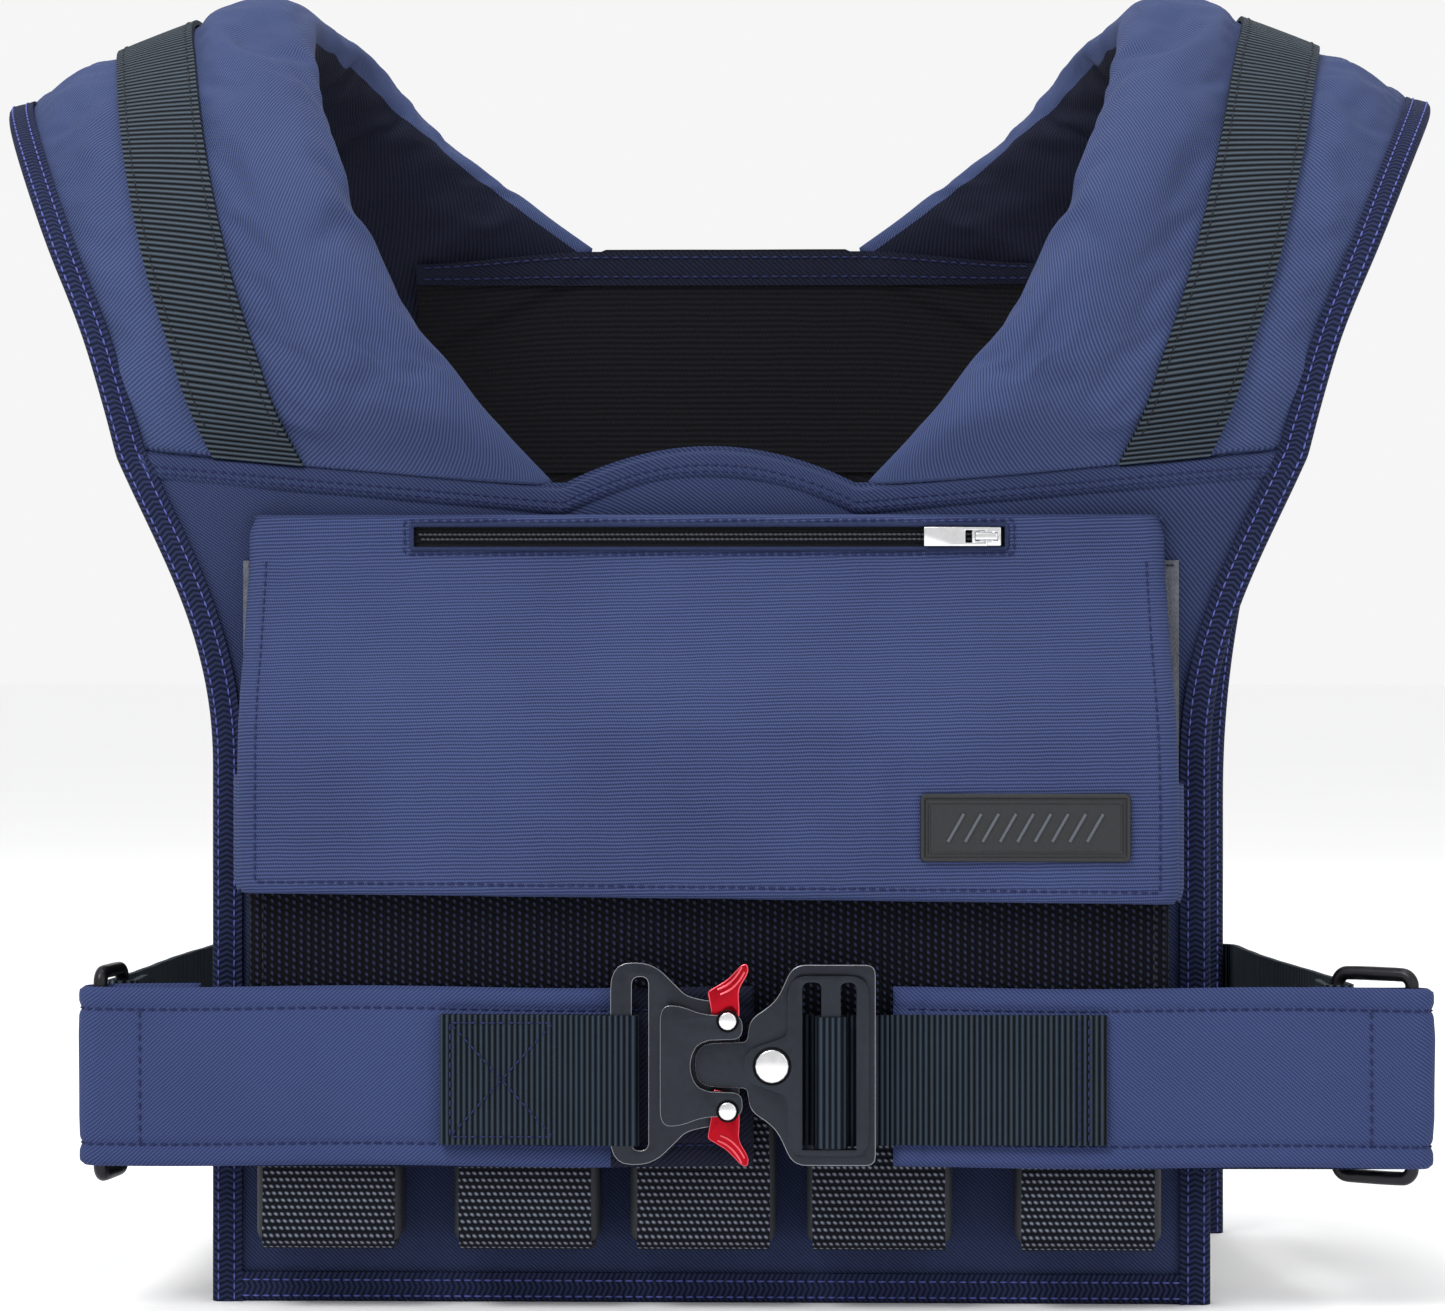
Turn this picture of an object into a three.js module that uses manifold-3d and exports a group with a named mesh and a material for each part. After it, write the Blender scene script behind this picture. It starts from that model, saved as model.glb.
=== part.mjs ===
// Weighted training vest: a padded tabard worn over the shoulders, with five removable
// weight bars in webbing slings on its front and five on its back, a covering flap on each
// side, and a waist belt closed by a metal quick-release buckle.
// Millimetres, +Z up, the front faces -Y. Left and right are as seen from the front.
import * as THREE from 'three';
import { mergeVertices } from 'three/addons/utils/BufferGeometryUtils.js';
import Module from 'manifold-3d';

const wasm = await Module();
wasm.setup();

// ---------------------------------------------------------------- driving dimensions
const gap = 0.3; // running gap between touching pieces

// panels
const torsoDepth = 170; // clear space between the two panels
const panelThickness = 6;
const frontHalfWidth = 152;
const backHalfWidth = 170;
const hemLift = 1.5; // panel edge inside its binding
const frontWaist = 165; // height where the armhole starts to flare
const backWaist = 150;
const yokeHalfWidth = 182; // widest point of the front yoke
const yokeHeight = 260.5;
const neckHalfWidth = 45; // where the shoulder pads meet the front neckline
const neckCornerHeight = 248.5;
const neckRise = 260; // middle of the front neckline
const backYokeHalfWidth = 186;
const backYokeHeight = 266.5;
const backNeckHalfWidth = 42;
const backNeckHeight = 336;
const bindingWidth = 9.5;
const bindingSkin = 1.2;

// shoulder pads
const padHalfThickness = 11;
const padEdgeHalfThickness = 2.5;
const padFlange = 12; // flat sewn edge under the binding
const shoulderWebbingWidth = 28;
const shoulderWebbingThickness = 1.8;
const shoulderWebbingLift = 0.8;

// weights, slings and their band
const slingDrift = [0, 0.19, -0.11, -0.41, 0]; // off even spacing, in shares of the space between bars
const slingWidth = 40;
const slingThickness = 2;
const weightWidth = 44;
const weightDepth = 20;
const weightLength = 150;
const weightBase = 21;
const slingBackTop = 120;
const bandMargin = 4.7; // between the band's end and the binding
const bandBase = 62;
const bandHeight = 86;
const bandThickness = 2;

// flap, zip and label
const flapSideGap = 0.7; // between the flap's cheek and the band
const flapTop = 242;
const flapBottom = 124;
const flapWall = 2;
const flapThickness = 5.5;
const flapShoulder = 8; // how far the zip plane stands in front of the panel
const zipHalfLength = 90;
const zipHeight = 235;
const zipSlotWidth = 7;
const zipSlotDepth = 2.6;
const zipTapeThickness = 1.2;
const sliderLength = 9;
const sliderWidth = 6;
const sliderDepth = 3.4;
const sliderStart = 80; // left end of the slider when the zip is closed
const pullLength = 19;
const labelWidth = 63;
const labelHeight = 20.5;
const labelThickness = 1.5;
const labelLeft = 64;
const labelBase = 137;
const closureStripWidth = 15;
const closureStripThickness = 1;
const closureStripBase = 152;
const closureStripTop = 228;

// belt, webbing, rings and side straps
const beltThickness = 3.6;
const beltBase = 45;
const beltTop = 99;
const beltLeftInnerEnd = 14;
const beltRightInnerEnd = 56;
const beltLeftBarX = -184;
const beltRightBarX = 212;
const webbingThickness = 1.6;
const webbingBase = 52;
const webbingTop = 91;
const webbingLeftEnd = -80;
const webbingRightStart = 24.6; // hidden under the tongue
const webbingRightEnd = 120;
const ringWire = 4.5;
const ringBase = 39;
const ringTop = 105;
const ringCorner = 3.6;
const strapThickness = 2;
const strapBase = 45;
const strapTop = 99;

// buckle
const buckleHeight = 76.5; // centre height of the buckle
const buckleHalfHeight = 30.3;
const basePlate = 2.4;
const tonguePlate = 3.6;
const coverPlate = 3;
const barLeft = -28.8; // outer edge of the strap bar
const slotLeft = -22.3;
const slotRight = -17.4;
const slotHalfHeight = 26;
const coverLeft = -13.6;
const coverRight = 11;
const notchHalfHeight = 7.6;
const leverPivotX = 6.6;
const leverPivotRise = 13.4; // above and below the buckle's centre
const pivotRadius = 1.6;
const pivotHead = 2.7;
const tongueLeft = -3;
const tongueRight = 50.7;
const frameLeft = 22;
const adjusterBarLeft = 34.5;
const adjusterBarRight = 40.2;
const adjusterSlotLeft = 28.8;
const adjusterSlotRight = 45;
const adjusterSlotHalf = 25;
const centreRivetX = 19.8;
const centreRivetHead = 5;
const rivetProud = 1.3;

// ---------------------------------------------------------------- levels along Y
// distances in front of (or behind) the torso's middle plane, from the body outwards
const panelInner = torsoDepth / 2;
const panelMid = panelInner + panelThickness / 2;
const panelOuter = panelInner + panelThickness;
const slingBack = panelOuter + gap + slingThickness / 2;
const weightInner = slingBack + slingThickness / 2 + gap;
const weightOuter = weightInner + weightDepth;
const slingFront = weightOuter + gap + slingThickness / 2;
const bandMid = slingFront + slingThickness / 2 + gap + bandThickness / 2;
const beltMid = bandMid + bandThickness / 2 + gap + beltThickness / 2;
const runMid = beltMid + beltThickness / 2 + gap + webbingThickness / 2;
const baseBack = runMid + webbingThickness / 2 + gap * 1.5;
const tongueBack = baseBack + basePlate + gap;
const coverBack = tongueBack + tonguePlate + gap;
const coverFront = coverBack + coverPlate;
const flapInner = bandMid + bandThickness / 2 + 1.5;
const flapFace = flapInner + flapThickness;
const zipFace = panelOuter + flapShoulder + 2;

// places across the panel, from the binding inwards
const bindingInner = frontHalfWidth - bindingWidth + hemLift;
const bandHalfWidth = bindingInner - bandMargin;
const flapHalfWidth = bandHalfWidth + flapSideGap + flapWall;
const outerSling = bandHalfWidth - bandThickness - gap - weightWidth / 2;
const slingPitch = outerSling / 2;
const slingSlack = slingPitch - weightWidth;
const slingCentres = slingDrift.map((share, i) => (i - 2) * slingPitch + share * slingSlack);

// ---------------------------------------------------------------- materials
function finish(color, roughness, metalness) {
  return new THREE.MeshStandardMaterial({ color, roughness, metalness });
}
const navyFabric = finish(0x3c4a78, 0.9, 0);
const lining = finish(0x15161c, 0.95, 0);
const blackWebbing = finish(0x1f242c, 0.85, 0);
const bindingTape = finish(0x161a30, 0.9, 0);
const greyLoop = finish(0x565b66, 0.95, 0);
const weightCoat = finish(0x4b4f56, 0.6, 0.3);
const gunmetal = finish(0x3c3f44, 0.45, 0.8);
const redAnodised = finish(0xb80c28, 0.35, 0.6);
const bareSteel = finish(0xc9c9cc, 0.25, 1);
const darkWire = finish(0x202228, 0.3, 0.8);
const labelRubber = finish(0x20262c, 0.7, 0);

// ---------------------------------------------------------------- shape helpers
const vest = new THREE.Group();

function toSolid(geometry) {
  const bare = geometry.clone();
  bare.deleteAttribute('normal');
  bare.deleteAttribute('uv');
  const merged = mergeVertices(bare, 1e-4);
  const vertProperties = new Float32Array(merged.attributes.position.array);
  const triVerts = new Uint32Array(merged.index.array);
  return new wasm.Manifold(new wasm.Mesh({ numProp: 3, vertProperties, triVerts }));
}

function fromSolid(solid) {
  const mesh = solid.getMesh();
  const geometry = new THREE.BufferGeometry();
  geometry.setAttribute('position', new THREE.BufferAttribute(mesh.vertProperties, 3));
  geometry.setIndex(new THREE.BufferAttribute(mesh.triVerts, 1));
  return geometry;
}

function add(name, shape, material) {
  const geometry = shape instanceof THREE.BufferGeometry ? shape : fromSolid(shape);
  geometry.computeVertexNormals();
  const mesh = new THREE.Mesh(geometry, material);
  mesh.name = name;
  vest.add(mesh);
}

function outline(points) {
  return new THREE.Shape(points.map(([a, b]) => new THREE.Vector2(a, b)));
}

function extrude(shape, depth) {
  return new THREE.ExtrudeGeometry(shape, { depth, bevelEnabled: false, curveSegments: 5 });
}

// an outline in X and Z, as thick as the space from yNear to yFar
function slab(shape, yNear, yFar) {
  const low = Math.min(yNear, yFar);
  const high = Math.max(yNear, yFar);
  return extrude(shape, high - low).rotateX(Math.PI / 2).translate(0, high, 0);
}

// an outline in X and Y, standing from zLow to zHigh
function upright(shape, zLow, zHigh) {
  return extrude(shape, zHigh - zLow).translate(0, 0, zLow);
}

// an outline in Y and Z, running along X
function crosswise(shape, xLow, xHigh) {
  const turn = new THREE.Matrix4().set(0, 0, 1, xLow, 1, 0, 0, 0, 0, 1, 0, 0, 0, 0, 0, 1);
  return extrude(shape, xHigh - xLow).applyMatrix4(turn);
}

function box(xLow, xHigh, yLow, yHigh, zLow, zHigh) {
  const geometry = new THREE.BoxGeometry(xHigh - xLow, yHigh - yLow, zHigh - zLow);
  return geometry.translate((xLow + xHigh) / 2, (yLow + yHigh) / 2, (zLow + zHigh) / 2);
}

// a pin along Y
function pin(x, z, radius, yLow, yHigh) {
  const geometry = new THREE.CylinderGeometry(radius, radius, yHigh - yLow, 16);
  return geometry.translate(x, (yLow + yHigh) / 2, z);
}

function arc(centre, radius, from, to, steps) {
  const points = [];
  for (let i = 0; i <= steps; i += 1) {
    const angle = THREE.MathUtils.degToRad(from + ((to - from) * i) / steps);
    points.push([centre[0] + radius * Math.cos(angle), centre[1] + radius * Math.sin(angle)]);
  }
  return points;
}

// an open line moved sideways, to its left for a positive distance
function offsetLine(points, distance) {
  return points.map((point, i) => {
    const before = points[Math.max(i - 1, 0)];
    const after = points[Math.min(i + 1, points.length - 1)];
    const into = new THREE.Vector2(point[0] - before[0], point[1] - before[1]).normalize();
    const outOf = new THREE.Vector2(after[0] - point[0], after[1] - point[1]).normalize();
    if (i === 0) into.copy(outOf);
    if (i === points.length - 1) outOf.copy(into);
    const along = into.clone().add(outOf).normalize();
    const stretch = distance / Math.max(along.dot(into), 0.5);
    return [point[0] - along.y * stretch, point[1] + along.x * stretch];
  });
}

// a strip of even thickness that follows a line
function strip(points, thickness) {
  const left = offsetLine(points, thickness / 2);
  const right = offsetLine(points, -thickness / 2).reverse();
  return outline([...left, ...right]);
}

function mirrored(points) {
  return points.map(([a, b]) => [-a, b]);
}

// a closed skin through rings of equal length, capped at both ends
function loft(rings) {
  const count = rings[0].length;
  const positions = rings.flat().flatMap((p) => [p.x, p.y, p.z]);
  const index = [];
  for (let r = 0; r < rings.length - 1; r += 1) {
    for (let i = 0; i < count; i += 1) {
      const a = r * count + i;
      const b = r * count + ((i + 1) % count);
      index.push(a, b, b + count, a, b + count, a + count);
    }
  }
  const last = (rings.length - 1) * count;
  const half = count / 2;
  for (let i = 0; i < half - 1; i += 1) {
    const j = count - 1 - i;
    index.push(i, j, j - 1, i, j - 1, i + 1);
    index.push(last + i, last + j - 1, last + j, last + i, last + i + 1, last + j - 1);
  }
  const geometry = new THREE.BufferGeometry();
  geometry.setAttribute('position', new THREE.Float32BufferAttribute(positions, 3));
  geometry.setIndex(index);
  return geometry;
}

// turns a skin the right way out
function outward(geometry) {
  const p = geometry.attributes.position;
  const [a, b, c] = [new THREE.Vector3(), new THREE.Vector3(), new THREE.Vector3()];
  const order = geometry.index.array;
  let volume = 0;
  for (let i = 0; i < order.length; i += 3) {
    a.fromBufferAttribute(p, order[i]);
    b.fromBufferAttribute(p, order[i + 1]);
    c.fromBufferAttribute(p, order[i + 2]);
    volume += a.dot(b.cross(c));
  }
  if (volume < 0) geometry.setIndex([...order].reverse());
  return geometry;
}

// ---------------------------------------------------------------- panels and bindings
function sideLine(halfWidth, waist, topX, topZ, low) {
  const flare = new THREE.CubicBezierCurve(
    new THREE.Vector2(halfWidth, waist),
    new THREE.Vector2(halfWidth, waist + (topZ - waist) * 0.42),
    new THREE.Vector2(topX - (topX - halfWidth) * 0.45, topZ - (topZ - waist) * 0.32),
    new THREE.Vector2(topX, topZ)
  );
  return [[halfWidth, low], ...flare.getPoints(12).map((p) => [p.x, p.y])];
}

const frontSide = sideLine(frontHalfWidth, frontWaist, yokeHalfWidth, yokeHeight, hemLift);
const backSide = sideLine(backHalfWidth, backWaist, backYokeHalfWidth, backYokeHeight, hemLift);

function neckline(halfWidth, cornerZ, middleZ) {
  const curve = new THREE.QuadraticBezierCurve(
    new THREE.Vector2(halfWidth, cornerZ),
    new THREE.Vector2(0, 2 * middleZ - cornerZ),
    new THREE.Vector2(-halfWidth, cornerZ)
  );
  return curve.getPoints(10).map((p) => [p.x, p.y]);
}

function panelShape(side, neck) {
  return outline([...side, ...neck, ...mirrored(side).reverse()]);
}

const frontNeck = neckline(neckHalfWidth, neckCornerHeight, neckRise);
const backNeck = neckline(backNeckHalfWidth, backNeckHeight, backNeckHeight);
add('front_panel', slab(panelShape(frontSide, frontNeck), -panelInner, -panelOuter), navyFabric);
add('back_panel', slab(panelShape(backSide, backNeck), panelInner, panelOuter), navyFabric);

function hemTape(halfWidth, facing) {
  const reach = halfWidth - bindingWidth + hemLift - gap;
  const ends = [facing * (panelInner - gap - bindingSkin), facing * (panelOuter + gap + bindingSkin)];
  const tape = box(-reach, reach, Math.min(...ends), Math.max(...ends), 0, bindingWidth);
  const hollow = [facing * (panelInner - gap), facing * (panelOuter + gap)];
  const [near, far] = [Math.min(...hollow), Math.max(...hollow)];
  const room = box(-reach - 1, reach + 1, near, far, hemLift - gap, bindingWidth + 1);
  return toSolid(tape).subtract(toSolid(room));
}
add('front_hem_binding', hemTape(frontHalfWidth, -1), bindingTape);
add('back_hem_binding', hemTape(backHalfWidth, 1), bindingTape);

// ---------------------------------------------------------------- shoulder pads
// the arch's points are drawn for one depth between the panels and stretched to the real one
const drawnHalfDepth = 88;

function archCurve(points) {
  const stretch = panelMid / drawnHalfDepth;
  return new THREE.CatmullRomCurve3(points.map(([x, y, z]) => new THREE.Vector3(x, y * stretch, z)));
}

const innerEdge = archCurve([
  [neckHalfWidth + 1, -drawnHalfDepth, neckCornerHeight + 1.5],
  [70, -94, 276],
  [92, -95, 308],
  [110, -85, 346],
  [121, -60, 382],
  [126, -24, 404],
  [124, 14, 407],
  [114, 50, 398],
  [92, 75, 376],
  [64, 86, 353],
  [backNeckHalfWidth + 1, drawnHalfDepth, backNeckHeight + 2],
]);
const outerEdge = archCurve([
  [yokeHalfWidth, -drawnHalfDepth, yokeHeight + 1],
  [192, -89, 296],
  [205, -80, 326],
  [217, -58, 352],
  [226, -28, 369],
  [230, 5, 374],
  [228, 38, 366],
  [220, 64, 346],
  [206, 81, 318],
  [193, 88, 288],
  [backYokeHalfWidth, drawnHalfDepth, backYokeHeight + 1],
]);

function padPoint(t, u) {
  return innerEdge.getPointAt(t).lerp(outerEdge.getPointAt(t), u);
}

function padWidth(t) {
  return innerEdge.getPointAt(t).distanceTo(outerEdge.getPointAt(t));
}

// away from the wearer
function padNormal(t, u) {
  const step = 0.004;
  const low = Math.max(t - step, 0);
  const high = Math.min(t + step, 1);
  const along = padPoint(high, u).sub(padPoint(low, u));
  const across = outerEdge.getPointAt(t).sub(innerEdge.getPointAt(t));
  return along.cross(across).normalize().negate();
}

// plump at the neck side, tapering to a flat flange, and thin where each end is sewn in
function padRise(t, u) {
  const crown = 0.3;
  const flat = 1 - padFlange / padWidth(t);
  const ends = THREE.MathUtils.smoothstep(Math.min(t, 1 - t), 0, 0.09);
  const full = THREE.MathUtils.lerp(padEdgeHalfThickness * 1.4, padHalfThickness, ends);
  if (u >= flat) return padEdgeHalfThickness;
  if (u < crown) return full * Math.sqrt(1 - ((crown - u) / crown) ** 2);
  const fall = Math.sqrt(1 - ((u - crown) / (flat - crown)) ** 2);
  return padEdgeHalfThickness + (full - padEdgeHalfThickness) * fall;
}

const padSections = [0.015, 0.07, 0.17, 0.3, 0.46, 0.62, 0.75, 0.85, 0.93, 1];

function padRing(t) {
  const lift = (u, sign) => padPoint(t, u).addScaledVector(padNormal(t, u), sign * padRise(t, u));
  const top = padSections.map((u) => lift(u, 1));
  const bottom = padSections.map((u) => lift(u, -1)).reverse();
  return [...top, ...bottom];
}

function along(steps, make, from = 0, to = 1) {
  return Array.from({ length: steps + 1 }, (_, i) => make(from + ((to - from) * i) / steps));
}

function webbingCentre(t) {
  return THREE.MathUtils.lerp(0.68, 0.5, THREE.MathUtils.smoothstep(t, 0, 0.45));
}

function webbingRing(t) {
  const half = shoulderWebbingWidth / 2 / padWidth(t);
  const samples = [-1, -0.35, 0.35, 1].map((k) => webbingCentre(t) + k * half);
  const lift = (u, extra) => {
    const rise = padRise(t, u) + shoulderWebbingLift + extra;
    return padPoint(t, u).addScaledVector(padNormal(t, u), rise);
  };
  const top = samples.map((u) => lift(u, shoulderWebbingThickness));
  const bottom = samples.map((u) => lift(u, 0)).reverse();
  return [...top, ...bottom];
}

// the U of the binding tape around an edge: inward points into the panel, normal out of it
function tapeRing(edge, inward, normal) {
  const inner = panelThickness / 2 + gap;
  const outer = inner + bindingSkin;
  const lip = bindingWidth - hemLift;
  const section = [[lip, outer], [-hemLift, outer], [-hemLift, -outer], [lip, -outer]];
  const hollow = [[lip, -inner], [-gap, -inner], [-gap, inner], [lip, inner]];
  return [...section, ...hollow].map(([reach, lift]) =>
    edge.clone().addScaledVector(inward, reach).addScaledVector(normal, lift)
  );
}

function panelTapeRings(side, facing) {
  const insideLine = offsetLine(side, 1);
  return side.map(([x, z], i) => {
    const edge = new THREE.Vector3(x, facing * panelMid, i === 0 ? 0 : z);
    const inward = new THREE.Vector3(insideLine[i][0] - x, 0, insideLine[i][1] - z);
    return tapeRing(edge, inward, new THREE.Vector3(0, facing, 0));
  });
}

function padTapeRing(t) {
  const edge = padPoint(t, 1);
  const inward = padPoint(t, 0).sub(edge).normalize();
  return tapeRing(edge, inward, padNormal(t, 1));
}

// one tape from the front hem, over the shoulder, to the back hem
function tapeSkin() {
  const rings = [
    ...panelTapeRings(frontSide, -1),
    ...along(26, padTapeRing, 0.03, 0.97),
    ...panelTapeRings(backSide, 1).reverse(),
  ];
  const count = rings[0].length;
  const skin = loft(rings);
  const body = [...skin.index.array].slice(0, (rings.length - 1) * count * 6);
  // the U's two ends are closed as three strips each
  const cap = [0, 6, 7, 0, 1, 6, 1, 5, 6, 1, 2, 5, 2, 4, 5, 2, 3, 4];
  const last = (rings.length - 1) * count;
  for (let i = 0; i < cap.length; i += 3) {
    body.push(cap[i], cap[i + 2], cap[i + 1]);
    body.push(last + cap[i], last + cap[i + 1], last + cap[i + 2]);
  }
  skin.setIndex(body);
  return skin;
}

// both sides are modelled once, on the left, and mirrored
const leftPad = outward(loft(along(26, padRing)).scale(-1, 1, 1));
const leftWebbing = outward(loft(along(30, webbingRing, 0.03, 0.97)).scale(-1, 1, 1));
const leftBinding = outward(tapeSkin().scale(-1, 1, 1));

for (const [label, sign] of [['left', 1], ['right', -1]]) {
  const place = (geometry) => outward(geometry.clone().scale(sign, 1, 1));
  add(`shoulder_pad_${label}`, place(leftPad), navyFabric);
  add(`shoulder_webbing_${label}`, place(leftWebbing), blackWebbing);
  add(`side_binding_${label}`, place(leftBinding), bindingTape);
}

// ---------------------------------------------------------------- weights and slings
function slingShape(facing) {
  const turn = (slingFront - slingBack) / 2;
  const middle = (slingFront + slingBack) / 2;
  const bottom = weightBase - gap - slingThickness / 2;
  const bend = 5;
  const line = [
    [slingBack, slingBackTop],
    [slingBack, bottom + bend],
    ...arc([middle - turn + bend, bottom + bend], bend, 180, 270, 4).slice(1),
    ...arc([middle + turn - bend, bottom + bend], bend, 270, 360, 4),
    [slingFront, bandBase + bandHeight - 2],
  ];
  return strip(line.map(([y, z]) => [facing * y, z]), slingThickness);
}

function weightShape(facing) {
  const corner = 4;
  const [near, far, top] = [weightInner, weightOuter, weightBase + weightLength];
  const line = [
    ...arc([near + corner, weightBase + corner], corner, 180, 270, 4),
    ...arc([far - corner, weightBase + corner], corner, 270, 360, 4),
    ...arc([far - corner, top - corner], corner, 0, 90, 4),
    ...arc([near + corner, top - corner], corner, 90, 180, 4),
  ];
  return outline(line.map(([y, z]) => [facing * y, z]));
}

function bandShape(facing) {
  const reach = bandHalfWidth - bandThickness / 2;
  const line = [
    [-reach, panelOuter + gap],
    [-reach, bandMid - 1],
    [-reach + 1, bandMid],
    [reach - 1, bandMid],
    [reach, bandMid - 1],
    [reach, panelOuter + gap],
  ];
  return strip(line.map(([x, y]) => [x, facing * y]), bandThickness);
}

for (const [label, facing] of [['front', -1], ['back', 1]]) {
  slingCentres.forEach((x, i) => {
    const sling = crosswise(slingShape(facing), x - slingWidth / 2, x + slingWidth / 2);
    const weight = crosswise(weightShape(facing), x - weightWidth / 2, x + weightWidth / 2);
    add(`${label}_weight_sling_${i + 1}`, sling, blackWebbing);
    add(`${label}_weight_${i + 1}`, weight, weightCoat);
  });
  add(`${label}_weight_band`, upright(bandShape(facing), bandBase, bandBase + bandHeight), blackWebbing);
}

// ---------------------------------------------------------------- flaps, zip and label
function flapShapes(facing) {
  const seat = panelOuter + gap * 2 + closureStripThickness;
  const weightTop = weightBase + weightLength;
  const outer = [
    [seat, flapTop],
    [zipFace - 2, flapTop],
    [zipFace, flapTop - 2],
    [zipFace, zipHeight - 10],
    [zipFace + 7, weightTop + 40],
    [flapFace - 5, weightTop + 16],
    [flapFace, weightTop - 6],
    [flapFace, flapBottom + 1],
    [flapFace - 1, flapBottom],
  ];
  const inner = [
    [flapInner, flapBottom],
    [flapInner, weightTop - 6],
    [flapInner - 5, weightTop + 12],
    [seat + 10, weightTop + 34],
    [seat, zipHeight - 14],
  ];
  const turn = (line) => line.map(([y, z]) => [facing * y, z]);
  const cheek = [...outer, [seat + 1, flapBottom]];
  return [outline(turn([...outer, ...inner])), outline(turn(cheek))];
}

function flapSolid(facing) {
  const [cover, cheek] = flapShapes(facing);
  const shell = toSolid(crosswise(cover, -flapHalfWidth, flapHalfWidth));
  const left = toSolid(crosswise(cheek, -flapHalfWidth, -flapHalfWidth + flapWall));
  const right = toSolid(crosswise(cheek, flapHalfWidth - flapWall, flapHalfWidth));
  return shell.add(left).add(right);
}

const zipBed = zipFace - zipSlotDepth;
const slotLow = zipHeight - zipSlotWidth / 2;
const slotHigh = zipHeight + zipSlotWidth / 2;
const slot = box(-zipHalfLength - 1, zipHalfLength + 1, -zipFace - 1, -zipBed, slotLow, slotHigh);
add('front_flap', flapSolid(-1).subtract(toSolid(slot)), navyFabric);
add('back_flap', flapSolid(1), navyFabric);

const tapeFace = zipBed + gap + zipTapeThickness;
const tapeEdge = gap * 2;
const [tapeLow, tapeHigh] = [slotLow + tapeEdge, slotHigh - tapeEdge];
add('zip_tape', box(-zipHalfLength, zipHalfLength, -tapeFace, -zipBed - gap, tapeLow, tapeHigh), lining);

const sliderBack = tapeFace + gap;
const sliderFront = sliderBack + sliderDepth;
const sliderEnd = sliderStart + sliderLength;

// a box centred on the zip's height, between two distances in front of the torso's middle plane
function zipBox(xLow, xHigh, near, far, halfHeight) {
  return toSolid(box(xLow, xHigh, -far, -near, zipHeight - halfHeight, zipHeight + halfHeight));
}
const sliderBody = zipBox(sliderStart, sliderEnd, sliderBack, sliderFront - 1, sliderWidth / 2);
const bridge = zipBox(sliderStart + 1, sliderEnd - 1, sliderFront - 1.2, sliderFront + 1.4, 1.2);
const eye = zipBox(sliderStart + 2.4, sliderEnd - 2.4, sliderFront - 1, sliderFront + 0.3, 2);
add('zip_slider', sliderBody.add(bridge).subtract(eye), bareSteel);

// the pull hangs in the slider's eye by a thin cross bar
const pullPivotX = sliderStart + sliderLength / 2;
const pullY = sliderFront - 0.35;
const pullFrame = zipBox(pullPivotX - pullLength, pullPivotX + 0.4, pullY - 0.4, pullY + 0.4, 2.9);
const pullWindow = zipBox(pullPivotX - 6.4, pullPivotX - 0.4, pullY - 1, pullY + 1, 1.9);
add('zip_pull', pullFrame.subtract(pullWindow), bareSteel);

const labelBack = flapFace + gap;
const labelRight = labelLeft + labelWidth;
const labelFace = labelBack + labelThickness;
const labelPlate = box(labelLeft, labelRight, -labelFace, -labelBack, labelBase, labelBase + labelHeight);
add('label_patch', labelPlate, labelRubber);

const stripBack = panelOuter + gap;
const stripFace = stripBack + closureStripThickness;
for (const [label, sign] of [['left', -1], ['right', 1]]) {
  const edge = bindingInner - gap;
  const ends = [sign * edge, sign * (edge - closureStripWidth)];
  const [low, high] = [Math.min(...ends), Math.max(...ends)];
  const loopStrip = box(low, high, -stripFace, -stripBack, closureStripBase, closureStripTop);
  add(`closure_strip_${label}`, loopStrip, greyLoop);
}

// ---------------------------------------------------------------- belt, rings and straps
const ringRadius = ringWire / 2;
const beltBend = ringRadius + gap * 2 + beltThickness / 2;
const barDepth = beltMid - beltBend;

function beltShape(innerEnd, barX) {
  const sign = Math.sign(barX);
  const line = [
    [innerEnd, -beltMid],
    ...arc([barX, -barDepth], beltBend, -90, 90, 10).map(([x, y]) => [barX + sign * (x - barX), y]),
    [barX - sign * 30, -barDepth + beltBend],
  ];
  return strip(line, beltThickness);
}
add('belt_left', upright(beltShape(beltLeftInnerEnd, beltLeftBarX), beltBase, beltTop), navyFabric);
add('belt_right', upright(beltShape(beltRightInnerEnd, beltRightBarX), beltBase, beltTop), navyFabric);

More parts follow.
